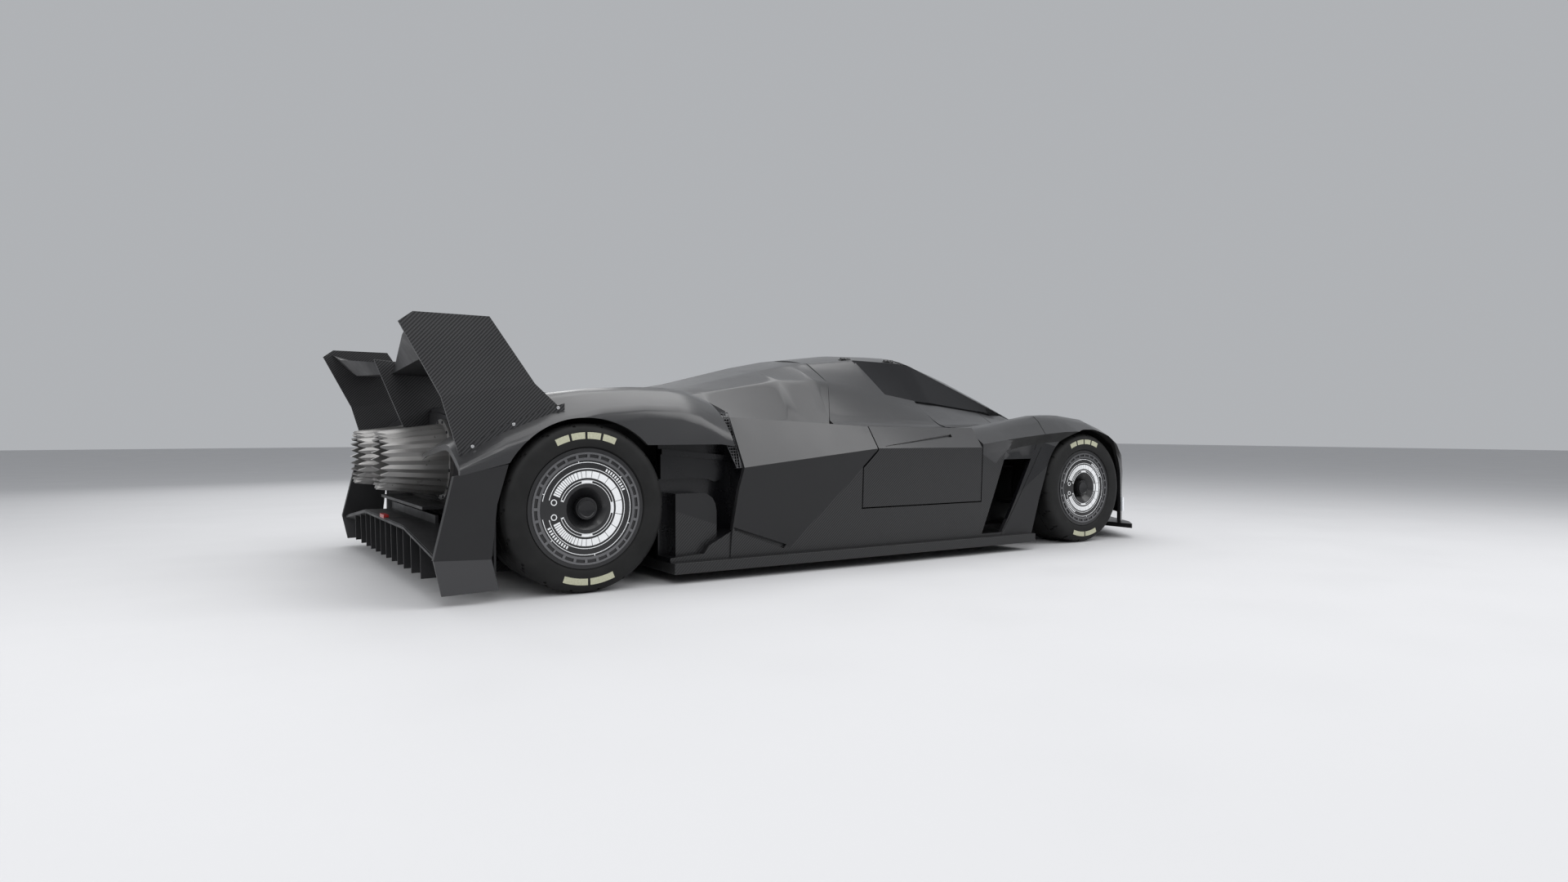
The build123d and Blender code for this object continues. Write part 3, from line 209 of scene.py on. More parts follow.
skid, tree, shader = finish_of("skid_metal", (0.42, 0.40, 0.38), 0.42, metal=1.0)
uneven_gloss(tree, shader, 90, 0.3, 0.6)
for number, (x, y) in enumerate(((0.95, 0.32), (0.95, -0.32), (-0.95, 0.32), (-0.95, -0.32))):
    bpy.ops.mesh.primitive_cube_add(size=1, location=(x, y, 0.037), scale=(0.16, 0.07, 0.008))
    block = bpy.context.object
    bpy.ops.object.transform_apply(location=True, scale=True)
    pick(block, lambda face: face.normal.z < -0.9)
    bpy.ops.mesh.inset(thickness=0.008, depth=0.003)
    done(block, f"skid_block_{number}", skid, "chassis")

# ---------------------------------------------------------------- tub
# The tub is a bonded carbon cell: sills, bulkheads and a shelf behind the seats, bare
# inside, with the doors' apertures in its sides.
tub_carbon = twill_finish("tub_carbon", (0.014, 0.014, 0.015), (0.050, 0.050, 0.052), 0.45)
moulding("chassis_tub", tub_carbon, edge=0.001)

# ---------------------------------------------------------------- suspension
# Welded steel wishbones painted black, with machined alloy uprights behind and steering
# knuckles in front, which turn in the wishbones' outer eyes.
steel, tree, shader = finish_of("wishbone_steel", (0.045, 0.045, 0.048), 0.38, metal=0.6)
uneven_gloss(tree, shader, 40, 0.3, 0.5)
alloy, tree, shader = finish_of("machined_alloy", (0.50, 0.50, 0.52), 0.33, metal=1.0)
uneven_gloss(tree, shader, 120, 0.25, 0.42)
moulding("rear_suspension", steel)
moulding("front_suspension", steel)
moulding("rear_uprights", alloy, edge=0.001)
for side in ("left", "right"):
    moulding("front_knuckle_" + side, alloy)

# ---------------------------------------------------------------- engine
# Engine and gearbox are closed in under the cover, so they are kept as one plain cast
# block at their real place and size.
cast, tree, shader = finish_of("cast_alloy", (0.30, 0.30, 0.31), 0.55, metal=0.9)
uneven_gloss(tree, shader, 60, 0.45, 0.7)
moulding("engine_block", cast, edge=0.006)

# ---------------------------------------------------------------- wheels
# Forged wheels closed by flat black discs. Each disc carries a ring of vent slots at its
# edge, white printed bands and a dished centre with a plain locking cap.
disc_black, tree, shader = finish_of("disc_black", (0.010, 0.010, 0.011), 0.32, metal=0.1,
                                     coat=0.2)
uneven_gloss(tree, shader, 30, 0.26, 0.4)
rim_grey, tree, shader = finish_of("rim_grey", (0.16, 0.16, 0.165), 0.3, metal=0.85)
uneven_gloss(tree, shader, 50, 0.22, 0.36)
print_white, tree, shader = finish_of("print_white", (0.78, 0.79, 0.80), 0.4, coat=0.3)
tint(tree, shader, blotches(tree, 220, 0, 1), (0.72, 0.73, 0.74), (0.82, 0.83, 0.84))
cap_black, tree, shader = finish_of("cap_black", (0.004, 0.004, 0.005), 0.3, coat=0.3,
                                    specular=0.3)
uneven_gloss(tree, shader, 80, 0.25, 0.4)

# Columns: name, axle x, axle z, disc radius, disc plane's distance from the middle.
AXLES = (("rear", -1.558, 0.311, 0.205, 1.012), ("front", 1.232, 0.289, 0.183, 0.938))
RING_STEPS = 360
# How many vent slots there are, how far their ring stands out, and the print's thickness.
VENTS, VENT_RISE, PRINT = 28, 0.004, 0.0012
# Angles at which the white band is divided, closer and closer to its open end. Angles on a
# disc are in degrees, up and down from its front end.
DIVISIONS = (11, 33, 52, 68, 81, 91, 99, 106, 112, 117, 121, 125, 129, 133, 137, 141, 145, 149, 153)


def disc_band(hub, side, outer, inner, keep, rise):
    """A flat ring on the disc: a circle drawn in to its inner edge, cut where keep says no."""
    bpy.ops.object.select_all(action="DESELECT")
    bpy.ops.mesh.primitive_circle_add(vertices=RING_STEPS, radius=outer, location=hub,
                                      rotation=(math.pi / 2, 0, 0))
    ring = bpy.context.object
    bpy.ops.object.transform_apply(location=True, rotation=True)
    bpy.ops.object.mode_set(mode="EDIT")
    bpy.ops.mesh.select_mode(type="EDGE")
    bpy.ops.mesh.select_all(action="SELECT")
    bpy.ops.mesh.extrude_region_move()
    share = inner / outer
    bpy.ops.transform.resize(value=(share, 1, share), center_override=hub)

    def unwanted(face):
        angle = math.degrees(math.atan2(face.center.z - hub[2], face.center.x - hub[0]))
        return not keep(angle)

    pick(ring, unwanted)
    bpy.ops.mesh.delete(type="FACE")
    bpy.ops.mesh.select_all(action="SELECT")
    bpy.ops.mesh.extrude_region_move(TRANSFORM_OT_translate={"value": (0, side * rise, 0)})
    bpy.ops.mesh.select_all(action="SELECT")
    bpy.ops.mesh.normals_make_consistent(inside=False)
    bpy.ops.object.mode_set(mode="OBJECT")
    return ring


def joined(pieces, name, finish, body, smooth=35):
    """Like pieces of one body become one piece."""
    only(*pieces)
    if len(pieces) > 1:
        bpy.ops.object.join()
    return done(pieces[0], name, finish, body, smooth)


def all_round(angle):
    """The whole ring."""
    return True


def open_end(width):
    """The ring but for its rear end, this many degrees to each side."""
    return lambda angle: abs(angle) < 180 - width


def between_vents(angle):
    """The bridges between the vent slots; a slot takes 0.78 of its pitch."""
    return (angle % (360 / VENTS)) * VENTS / 360 > 0.78


def divided(angle):
    """The broad white band, open at its rear end and cut at its divisions."""
    return abs(angle) < 157 and int(abs(angle)) not in DIVISIONS


# Columns: outer and inner radius as shares of the disc's, and where the band is kept.
VENT_RING = ((1.0, 0.965, all_round), (0.966, 0.905, between_vents), (0.906, 0.86, all_round))
WHITE_BAND = (0.668, 0.545, divided)
# The thin lines: two open rings, two fields of ticks, single ticks outside them, two inner
# rings with the bars that close them, and three short inner arcs.
THIN_LINES = ((0.828, 0.817, open_end(11)), (0.716, 0.705, open_end(14)),
              (0.790, 0.735, lambda a: 24 < a % 180 < 64 and a % 4 < 1.9),
              (0.858, 0.828, lambda a: int(a) % 60 == 40),
              (0.507, 0.498, open_end(18)), (0.457, 0.448, open_end(18)),
              (0.507, 0.448, lambda a: 160 < abs(a) < 163),
              (0.495, 0.460, lambda a: abs((a + 45) % 90 - 45) < 12 and abs(a) < 120))
# Two small round marks near the band's open end, in shares of the disc's radius: how far
# back, how far up and down, outer and inner radius.
MARK_BACK, MARK_UP, MARK_OUTER, MARK_INNER = 0.605, 0.13, 0.055, 0.040

for end, x, z, radius, plane in AXLES:
    for side, word in ((-1, "right"), (1, "left")):
        tag = f"{end}_{word}"
        body = "wheel_" + tag
        hub = (x, side * plane, z)
        moulding(body, disc_black, smooth=25)

        def band(outer, inner, keep, rise=PRINT):
            """A band on this disc, its radii given as shares of the disc's."""
            return disc_band(hub, side, outer * radius, inner * radius, keep, rise)

        joined([band(*ring, VENT_RISE) for ring in VENT_RING], f"vent_ring_{tag}", rim_grey, body)
        joined([band(*WHITE_BAND)], f"printed_ring_{tag}", print_white, body)
        marks = [disc_band((x - MARK_BACK * radius, side * plane, z + up * radius), side,
                           MARK_OUTER * radius, MARK_INNER * radius, all_round, PRINT)
                 for up in (-MARK_UP, MARK_UP)]
        joined(marks + [band(*line) for line in THIN_LINES], f"printed_lines_{tag}", print_white,
               body)
        bpy.ops.mesh.primitive_cylinder_add(vertices=64, radius=0.036, depth=0.010,
                                            rotation=(math.pi / 2, 0, 0),
                                            location=(x, side * (plane - 0.002), z))
        cap = bpy.context.object
        bpy.ops.object.transform_apply(location=True, rotation=True)
        pick(cap, lambda face: face.normal.y * side > 0.9)
        bpy.ops.mesh.inset(thickness=0.004, depth=0.0)
        bpy.ops.mesh.inset(thickness=0.003, depth=-0.003)
        bpy.ops.mesh.bevel(offset=0.0012, segments=3, affect="EDGES")
        done(cap, f"locking_cap_{tag}", cap_black, body)

# ---------------------------------------------------------------- tyres
# Moulded rubber: tread bands with two grooves and slanted shoulder cuts, and bare
# sidewalls with a few plain pale blocks of paint.
rubber, tree, shader = finish_of("tyre_rubber", (0.008, 0.008, 0.008), 0.6, specular=0.25)
tint(tree, shader, blotches(tree, 14, 0, 1), (0.005, 0.005, 0.005), (0.010, 0.010, 0.010))
place = node(tree, "TexCoord").outputs["Object"]
grain = node(tree, "TexNoise", in_Vector=place, in_Scale=900, in_Detail=3.0)
relief(tree, shader, 0.2, 0.0005, grain.outputs[0])
tyre_paint, tree, shader = finish_of("tyre_paint", (0.42, 0.42, 0.30), 0.7)
tint(tree, shader, blotches(tree, 150, 0, 1), (0.36, 0.36, 0.26), (0.46, 0.46, 0.34))

# Columns: name, axle x, tyre radius, width, rim radius, outer face's distance from the middle.
TYRES = (("rear", -1.558, 0.311, 0.330, 0.220, 1.020), ("front", 1.232, 0.289, 0.270, 0.198, 0.946))
TREAD_STEPS = 144
# The tread's two grooves: their distance from its middle, half their width, and their depth.
GROOVE_Y, GROOVE_HALF, GROOVE_DEPTH = 0.055, 0.0035, 0.006


def drawn_line(points):
    """An open line of edges, extruded from one corner to the next."""
    bpy.ops.object.select_all(action="DESELECT")
    bpy.ops.mesh.primitive_plane_add(size=0.001, location=points[0])
    line = bpy.context.object
    bpy.ops.object.transform_apply(location=True)
    bpy.ops.object.mode_set(mode="EDIT")
    bpy.ops.mesh.select_mode(type="VERT")
    bpy.ops.mesh.select_all(action="SELECT")
    bpy.ops.mesh.merge(type="CENTER")
    for before, after in zip(points, points[1:]):
        step = Vector(after) - Vector(before)
        bpy.ops.mesh.extrude_region_move(TRANSFORM_OT_translate={"value": step})
    bpy.ops.mesh.select_all(action="SELECT")
    return line


def painted(centre, spread, pitch):
    """Blocks of paint to both sides of an angle, one to a pitch, with bare gaps between them."""
    return lambda angle: abs(angle - centre) < spread and (angle - centre + spread) % pitch > 2.4


for end, x, radius, width, rim, plane in TYRES:
    half = width / 2
    # The rubber's outline from the rim outwards, as (radius, distance from the tyre's middle).
    profile = [(rim, half - 0.012), (rim + 0.006, half - 0.003), (rim + 0.014, half - 0.001),
               (rim + 0.030, half), (radius - 0.040, half - 0.0005), (radius - 0.026, half - 0.002),
               (radius - 0.014, half - 0.008), (radius - 0.006, half - 0.018),
               (radius - 0.0015, half - 0.033), (radius, half - 0.050), (radius, half - 0.066),
               (radius, GROOVE_Y + GROOVE_HALF),
               (radius - GROOVE_DEPTH, GROOVE_Y + GROOVE_HALF * 0.6),
               (radius - GROOVE_DEPTH, GROOVE_Y - GROOVE_HALF * 0.6),
               (radius, GROOVE_Y - GROOVE_HALF)]
    profile += [(r, -w) for r, w in profile[::-1]]
    for side, word in ((-1, "right"), (1, "left")):
        tag = f"{end}_{word}"
        middle = side * (plane - half)
        outside = [(x, middle + w, radius + r) for r, w in profile]
        inside = [(x, middle - half + 0.030, radius + rim),
                  (x, middle + half - 0.030, radius + rim)]
        tyre = drawn_line(outside + inside + outside[:1])
        bpy.ops.mesh.spin(steps=TREAD_STEPS, angle=math.tau, center=(x, middle, radius),
                          axis=(0, 1, 0))
        bpy.ops.mesh.select_all(action="SELECT")
        bpy.ops.mesh.remove_doubles(threshold=0.0001)
        bpy.ops.mesh.select_all(action="SELECT")
        bpy.ops.mesh.normals_make_consistent(inside=False)

        def shoulder_cut(face):
            """Every eighth step of the shoulder, shifted by rows so that the cuts slant."""
            dx, dz = face.center.x - x, face.center.z - radius
            across = abs(face.center.y - middle)
            if not (radius - 0.016 < math.hypot(dx, dz) and half - 0.068 < across < half - 0.006):
                return False
            turn = math.degrees(math.atan2(dz, dx)) % 360
            return int(turn / (360 / TREAD_STEPS) + round(across * 60)) % 8 == 0

        pick(tyre, shoulder_cut)
        bpy.ops.mesh.inset(thickness=0.0015, use_boundary=True)
        bpy.ops.mesh.extrude_region_shrink_fatten(TRANSFORM_OT_shrink_fatten={"value": -0.004})
        tyre = done(tyre, f"tyre_{tag}_rubber", rubber, "wheel_" + tag, smooth=32)
        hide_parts("tyre_" + tag)
        sidewall = (x, side * (plane - PRINT), radius)
        joined([disc_band(sidewall, side, rim + 0.058, rim + 0.034, blocks, PRINT)
                for blocks in (painted(90, 26, 13), painted(-90, 22, 22))],
               f"sidewall_blocks_{tag}", tyre_paint, "wheel_" + tag)

# ---------------------------------------------------------------- cabin
# Carbon bucket seats with sewn pads and four-point belts, a trimmed dashboard with its
# screens and switches, and an open-topped steering wheel with padded grips.
trim, tree, shader = finish_of("suede_trim", (0.030, 0.030, 0.031), 0.9)
shader.inputs["Sheen Weight"].default_value = 0.4
tint(tree, shader, blotches(tree, 45, 0, 1), (0.040, 0.040, 0.042), (0.066, 0.066, 0.069))
pad_cloth, tree, shader = finish_of("pad_cloth", (0.045, 0.045, 0.047), 0.92)
shader.inputs["Sheen Weight"].default_value = 0.5
tint(tree, shader, blotches(tree, 30, 0, 1), (0.075, 0.075, 0.078), (0.110, 0.110, 0.114))
place = node(tree, "TexCoord").outputs["Object"]
weave = node(tree, "TexVoronoi", in_Vector=place, in_Scale=700)
relief(tree, shader, 0.35, 0.0006, weave.outputs["Distance"])
webbing, tree, shader = finish_of("belt_webbing", (0.020, 0.020, 0.022), 0.7)
place = node(tree, "TexCoord").outputs["Object"]
ribs = node(tree, "TexWave", in_Vector=place, in_Scale=220, in_Distortion=0.4, bands_direction="Y")
tint(tree, shader, ribs.outputs["Fac"], (0.014, 0.014, 0.015), (0.032, 0.032, 0.034))
screen, tree, shader = finish_of("screen_glass", (0.010, 0.011, 0.013), 0.08, coat=1.0)
uneven_gloss(tree, shader, 60, 0.05, 0.14)
steel_bright, tree, shader = finish_of("bright_steel", (0.55, 0.55, 0.56), 0.3, metal=1.0)
uneven_gloss(tree, shader, 200, 0.22, 0.42)

SEAT_Y = 0.23
shell = moulding("seats", tub_carbon, smooth=30)


def padded_face(face):
    """The seats' cushion tops and back fronts, where the pads' recesses are sunk."""
    on_cushion = face.normal.z > 0.9 and face.center.x > 0.05 and face.center.z > 0.21
    return on_cushion or (face.normal.x > 0.8 and face.normal.z > 0.25)


pick(shell, padded_face)
bpy.ops.mesh.inset(thickness=0.020, depth=-0.042)
only(shell)
edge = shell.modifiers.new("edge", "BEVEL")
edge.width = 0.007
edge.segments = 3
edge.limit_method = "ANGLE"
bpy.ops.object.modifier_apply(modifier="edge")
bpy.ops.object.shade_smooth_by_angle(angle=math.radians(35))


def swelled(piece, cap):
    """Cloth under a little air pressure swells the pad; no point moves further than the cap."""
    only(piece)
    grain = piece.modifiers.new("grain", "REMESH")
    grain.mode = "VOXEL"
    grain.voxel_size = 0.006
    bpy.ops.object.modifier_apply(modifier="grain")
    start = [point.co.copy() for point in piece.data.vertices]
    cloth = piece.modifiers.new("cloth", "CLOTH")
    cloth.settings.use_pressure = True
    cloth.settings.uniform_pressure_force = 4
    cloth.settings.effector_weights.gravity = 0
    for step in range(1, 21):
        bpy.context.scene.frame_set(step)
    bpy.ops.object.modifier_apply(modifier="cloth")
    bpy.context.scene.frame_set(1)
    for point, before in zip(piece.data.vertices, start):
        move = point.co - before
        if move.length > cap:
            point.co = before + move * (cap / move.length)
    soft = piece.modifiers.new("soft", "SUBSURF")
    soft.levels = soft.render_levels = 1
    bpy.ops.object.modifier_apply(modifier="soft")


def sewn(piece, middle, along, places):
    """Sewn channels across a pad, at these distances from its middle."""
    for place in places:
        only(piece)
        bpy.ops.object.mode_set(mode="EDIT")
        bpy.ops.mesh.select_mode(type="VERT")
        bpy.ops.mesh.select_all(action="DESELECT")
        bpy.ops.object.mode_set(mode="OBJECT")
        for point in piece.data.vertices:
            point.select = abs((point.co - Vector(middle)).dot(Vector(along)) - place) < 0.0034
        bpy.ops.object.mode_set(mode="EDIT")
        bpy.ops.transform.shrink_fatten(value=-0.004)
        bpy.ops.object.mode_set(mode="OBJECT")


# Columns: name, middle x and z, length, thickness, lean in degrees, sewn channels.
PADS = (("cushion", 0.196, 0.226, 0.262, 0.030, -14.5, (-0.04, 0.05)),
        ("back_pad", -0.040, 0.440, 0.400, 0.030, -110.6, (-0.09, 0.0, 0.09)),
        ("head_pad", -0.127, 0.665, 0.062, 0.026, -110.6, ()))
for name, x, z, length, thickness, lean, channels in PADS:
    middle, turn = (x, -SEAT_Y, z), math.radians(lean)
    bpy.ops.object.select_all(action="DESELECT")
    bpy.ops.mesh.primitive_cube_add(size=1, location=middle, rotation=(0, turn, 0),
                                    scale=(length, 0.272, thickness))
    pad = bpy.context.object
    bpy.ops.object.transform_apply(location=True, rotation=True, scale=True)
    bpy.ops.object.mode_set(mode="EDIT")
    bpy.ops.mesh.select_all(action="SELECT")
    bpy.ops.mesh.bevel(offset=0.011, segments=3, affect="EDGES")
    bpy.ops.object.mode_set(mode="OBJECT")
    swelled(pad, 0.008)
    sewn(pad, middle, (math.cos(turn), 0, -math.sin(turn)), channels)
    only(pad)
    bpy.ops.object.duplicate_move(TRANSFORM_OT_translate={"value": (0, 2 * SEAT_Y, 0)})
    for copy, word in ((bpy.context.object, "left"), (pad, "right")):
        done(copy, f"{name}_{word}", pad_cloth, "chassis", smooth=60)

# The belts: their width, and the shoulder belts' line over the pads as (x, z) in side view.
BELT = 0.045
SHOULDER_BELT = [(-0.152, 0.704), (-0.128, 0.707), (-0.106, 0.694), (-0.083, 0.628),
                 (-0.051, 0.543), (-0.016, 0.449), (0.019, 0.356), (0.040, 0.300),
                 (0.056, 0.258), (0.072, 0.232), (0.094, 0.231)]
# The lap belts' rear edge, from the buckle outwards, as (x, y from the seat's middle, z).
LAP_BELT = [(0.084, 0.020, 0.2275), (0.076, 0.070, 0.2245), (0.073, 0.125, 0.2255),
            (0.072, 0.152, 0.2285)]


def strap(points, across):
    """A flat strap of webbing: one edge drawn along its way, widened and given its thickness."""
    line = drawn_line(points)
    bpy.ops.mesh.extrude_region_move(TRANSFORM_OT_translate={"value": across})
    bpy.ops.mesh.select_all(action="SELECT")
    bpy.ops.mesh.solidify(thickness=0.002)
    bpy.ops.mesh.select_all(action="SELECT")
    bpy.ops.mesh.normals_make_consistent(inside=False)
    bpy.ops.object.mode_set(mode="OBJECT")
    return line


def turned(direction):
    """The turn that points a primitive's own Z axis along a direction."""
    return Vector(direction).to_track_quat("Z", "Y").to_euler()


for seat_y, word in ((-SEAT_Y, "right"), (SEAT_Y, "left")):
    straps = [strap([(x, seat_y + y - BELT / 2, z) for x, z in SHOULDER_BELT], (0, BELT, 0))
              for y in (-0.075, 0.075)]
    straps += [strap([(x, seat_y + side * y, z) for x, y, z in LAP_BELT], (0.041, 0, 0.0106))
               for side in (-1, 1)]
    joined(straps, f"belts_{word}", webbing, "chassis")
    bpy.ops.mesh.primitive_cylinder_add(vertices=32, radius=0.027, depth=0.016,
                                        location=(0.103, seat_y, 0.238),
                                        rotation=turned((-0.25, 0, 0.97)))
    buckle = bpy.context.object
    bpy.ops.object.transform_apply(location=True, rotation=True)
    pick(buckle, lambda face: face.normal.z > 0.8)
    bpy.ops.mesh.inset(thickness=0.006, depth=0.002)
    done(buckle, f"buckle_{word}", steel_bright, "chassis")

# Radius of every screw's and button's head.
SCREW_HEAD = 0.006


def screws(places, outward, name, finish, body):
    """Round heads, each with a socket sunk in its top, joined into one piece."""
    radius, ahead = SCREW_HEAD, Vector(outward).normalized()
    heads = []
    for place in places:
        bpy.ops.object.select_all(action="DESELECT")
        bpy.ops.mesh.primitive_cylinder_add(vertices=18, radius=radius, depth=radius * 0.8,
                                            location=place, rotation=turned(outward))
        head = bpy.context.object
        bpy.ops.object.transform_apply(location=True, rotation=True)
        pick(head, lambda face: face.normal.dot(ahead) > 0.9)
        bpy.ops.mesh.bevel(offset=radius * 0.2, segments=2, affect="EDGES")
        pick(head, lambda face: face.normal.dot(ahead) > 0.9 and len(face.vertices) > 6)
        bpy.ops.mesh.inset(thickness=radius * 0.35, depth=0)
        bpy.ops.mesh.inset(thickness=radius * 0.02, depth=-radius * 0.35)
        bpy.ops.object.mode_set(mode="OBJECT")
        heads.append(head)
    only(*heads)
    bpy.ops.object.join()
    return done(heads[0], name, finish, body, smooth=30)


moulding("dashboard", trim, edge=0.006)
# Columns: name, middle, size.
SCREENS = (("driver_screen", (0.702, 0.23, 0.588), (0.012, 0.190, 0.080)),
           ("centre_screen", (0.700, 0.0, 0.560), (0.014, 0.150, 0.095)),
           ("switch_plate", (0.703, 0.0, 0.470), (0.012, 0.170, 0.060)))
for name, middle, size in SCREENS:
    bpy.ops.object.select_all(action="DESELECT")
    bpy.ops.mesh.primitive_cube_add(size=1, location=middle, scale=size)
    panel = bpy.context.object
    bpy.ops.object.transform_apply(location=True, scale=True)
    pick(panel, lambda face: face.normal.x < -0.9)
    bpy.ops.mesh.inset(thickness=0.005, depth=-0.0015)
    done(panel, name, screen, "chassis")
screws([(0.696, y, z) for y in (-0.064, -0.032, 0.0, 0.032, 0.064) for z in (0.458, 0.482)],
       (-1, 0, 0), "dash_switches", alloy, "chassis")
for y, word in ((-0.34, "right"), (0.38, "left")):
    bpy.ops.object.select_all(action="DESELECT")
    bpy.ops.mesh.primitive_cylinder_add(vertices=36, radius=0.032, depth=0.02,
                                        location=(0.712, y, 0.560), rotation=turned((-1, 0, 0)))
    vent = bpy.context.object
    bpy.ops.object.transform_apply(location=True, rotation=True)
    pick(vent, lambda face: face.normal.x < -0.9)
    bpy.ops.mesh.inset(thickness=0.004, depth=0)
    bpy.ops.mesh.inset(thickness=0.001, depth=-0.008)
    bpy.ops.mesh.inset(thickness=0.020, depth=0.004)
    done(vent, f"air_vent_{word}", screen, "chassis")

moulding("steering_wheel", trim, smooth=25, edge=0.002)
# The middle of the steering wheel.
WHEEL = (0.600, 0.230, 0.560)
for side, word in ((-1, "right"), (1, "left")):
    bpy.ops.object.select_all(action="DESELECT")
    bpy.ops.mesh.primitive_torus_add(major_segments=72, minor_segments=16, major_radius=0.139,
                                     minor_radius=0.0175, location=WHEEL,
                                     rotation=(0, math.pi / 2, 0))
    grip = bpy.context.object
    bpy.ops.object.transform_apply(location=True, rotation=True)
    pick(grip, lambda face: (face.center.y - WHEEL[1]) * side < 0.085
         or face.center.z - WHEEL[2] > 0.055)
    bpy.ops.mesh.delete(type="FACE")
    bpy.ops.mesh.select_mode(type="EDGE")
    bpy.ops.mesh.select_all(action="DESELECT")
    bpy.ops.mesh.select_non_manifold()
    bpy.ops.mesh.edge_face_add()
    bpy.ops.object.mode_set(mode="OBJECT")
    done(grip, f"grip_{word}", pad_cloth, "steering_wheel", smooth=50)
bpy.ops.object.select_all(action="DESELECT")
bpy.ops.mesh.primitive_cube_add(size=1, location=(0.577, 0.230, 0.562), scale=(0.008, 0.105, 0.052))
panel = bpy.context.object
bpy.ops.object.transform_apply(location=True, scale=True)
pick(panel, lambda face: face.normal.x < -0.9)
bpy.ops.mesh.inset(thickness=0.004, depth=-0.001)
done(panel, "wheel_screen", screen, "steering_wheel")
screws([(0.586, WHEEL[1] + y, WHEEL[2] + z) for y in (-0.088, 0.088) for z in (-0.012, 0.012)],
       (-1, 0, 0), "wheel_buttons", alloy, "steering_wheel")

# ---------------------------------------------------------------- nose and windscreen
# The nose is a painted carbon moulding; the windscreen is one bonded sheet of tinted,
# hard-coated plastic that runs up to the roof.
paint, tree, shader = finish_of("graphite_paint", (0.016, 0.016, 0.017), 0.42, metal=0.25,
                                coat=0.6, coat_rough=0.20)
place = node(tree, "TexCoord").outputs["Object"]
flake = node(tree, "TexVoronoi", in_Vector=place, in_Scale=1400)
tint(tree, shader, flake.outputs["Distance"], (0.010, 0.010, 0.011), (0.026, 0.026, 0.028))
uneven_gloss(tree, shader, 5, 0.38, 0.47)
glass, tree, shader = finish_of("tinted_pane", (0.004, 0.004, 0.005), 0.16, specular=0.4)
shader.inputs["Alpha"].default_value = 0.84
uneven_gloss(tree, shader, 12, 0.14, 0.19)
moulding("nose_cover", paint, smooth=35)
moulding("windscreen", glass, smooth=35)

# ---------------------------------------------------------------- roof and engine cover
# Painted carbon mouldings. The roof carries the doors' hinges, and the cover is one hollow
# shell that tapers to the tail.
moulding("roof_panel", paint, smooth=35)
moulding("engine_cover", paint, smooth=35)

# ---------------------------------------------------------------- wings and side pods
# Painted above the shoulder, bare carbon cloth below it, with the smooth rear part of
# the flank in satin grey. Woven mesh closes the gap ahead of each rear wheel.
joint_black, tree, shader = finish_of("joint_black", (0.004, 0.004, 0.004), 0.8)
uneven_gloss(tree, shader, 40, 0.7, 0.9)
lining, tree, shader = finish_of("inner_lining", (0.006, 0.006, 0.006), 0.8)
uneven_gloss(tree, shader, 12, 0.65, 0.85)
gloss_black, tree, shader = finish_of("gloss_black", (0.004, 0.004, 0.005), 0.28, coat=0.35,
                                      coat_rough=0.10, specular=0.3)
uneven_gloss(tree, shader, 8, 0.22, 0.34)
satin, tree, shader = finish_of("satin_grey", (0.012, 0.012, 0.013), 0.45, specular=0.35)
uneven_gloss(tree, shader, 9, 0.38, 0.52)

# Lines on the flank in side view, each as a point and the direction that counts as above it:
# where cloth meets the satin part, the slot's line, and the blade behind the front wheel.
CLOTH_EDGE = ((-0.655, 0, 0.113), (0.402, 0, -0.466))
SLOT_LINE = ((-0.932, 0, 0.198), (0.086, 0, 0.256))
BLADE_EDGE = ((0.694, 0, 0.278), (-0.057, 0, 0.098))
# The panel joints: their width, and where one crosses the front wing's top and its side.
JOINT = 0.0035
TOP_JOINT = ((0.880, 0, 0.600), (0.163, 0, -0.080))
SIDE_JOINT = ((0.845, 0, 0.458), (0.357, 0, -0.259))


def lay(piece, finish, test):
    """Gives the faces that pass the test another finish."""
    if finish.name not in piece.data.materials:
        piece.data.materials.append(finish)
    place = piece.data.materials.find(finish.name)
    for face in piece.data.polygons:
        if test(face):
            face.material_index = place


def split(piece, through, across, test):
    """Cuts the faces that pass the test along a plane, so that two finishes can meet there."""
    pick(piece, test)
    bpy.ops.mesh.bisect(plane_co=through, plane_no=across)
    bpy.ops.object.mode_set(mode="OBJECT")


def seam(piece, through, across, test):
    """A panel joint: a narrow groove across the faces that pass the test."""
    through, across = Vector(through), Vector(across).normalized()
    for side in (-1, 1):
        split(piece, through + across * side * JOINT / 2, across, test)

    def strip(face):
        return test(face) and abs((face.center - through).dot(across)) < JOINT / 2

    lay(piece, joint_black, strip)
    pick(piece, strip)
    bpy.ops.mesh.extrude_region_shrink_fatten(TRANSFORM_OT_shrink_fatten={"value": -0.002})
    only(piece)
    bpy.ops.object.shade_smooth_by_angle(angle=math.radians(35))


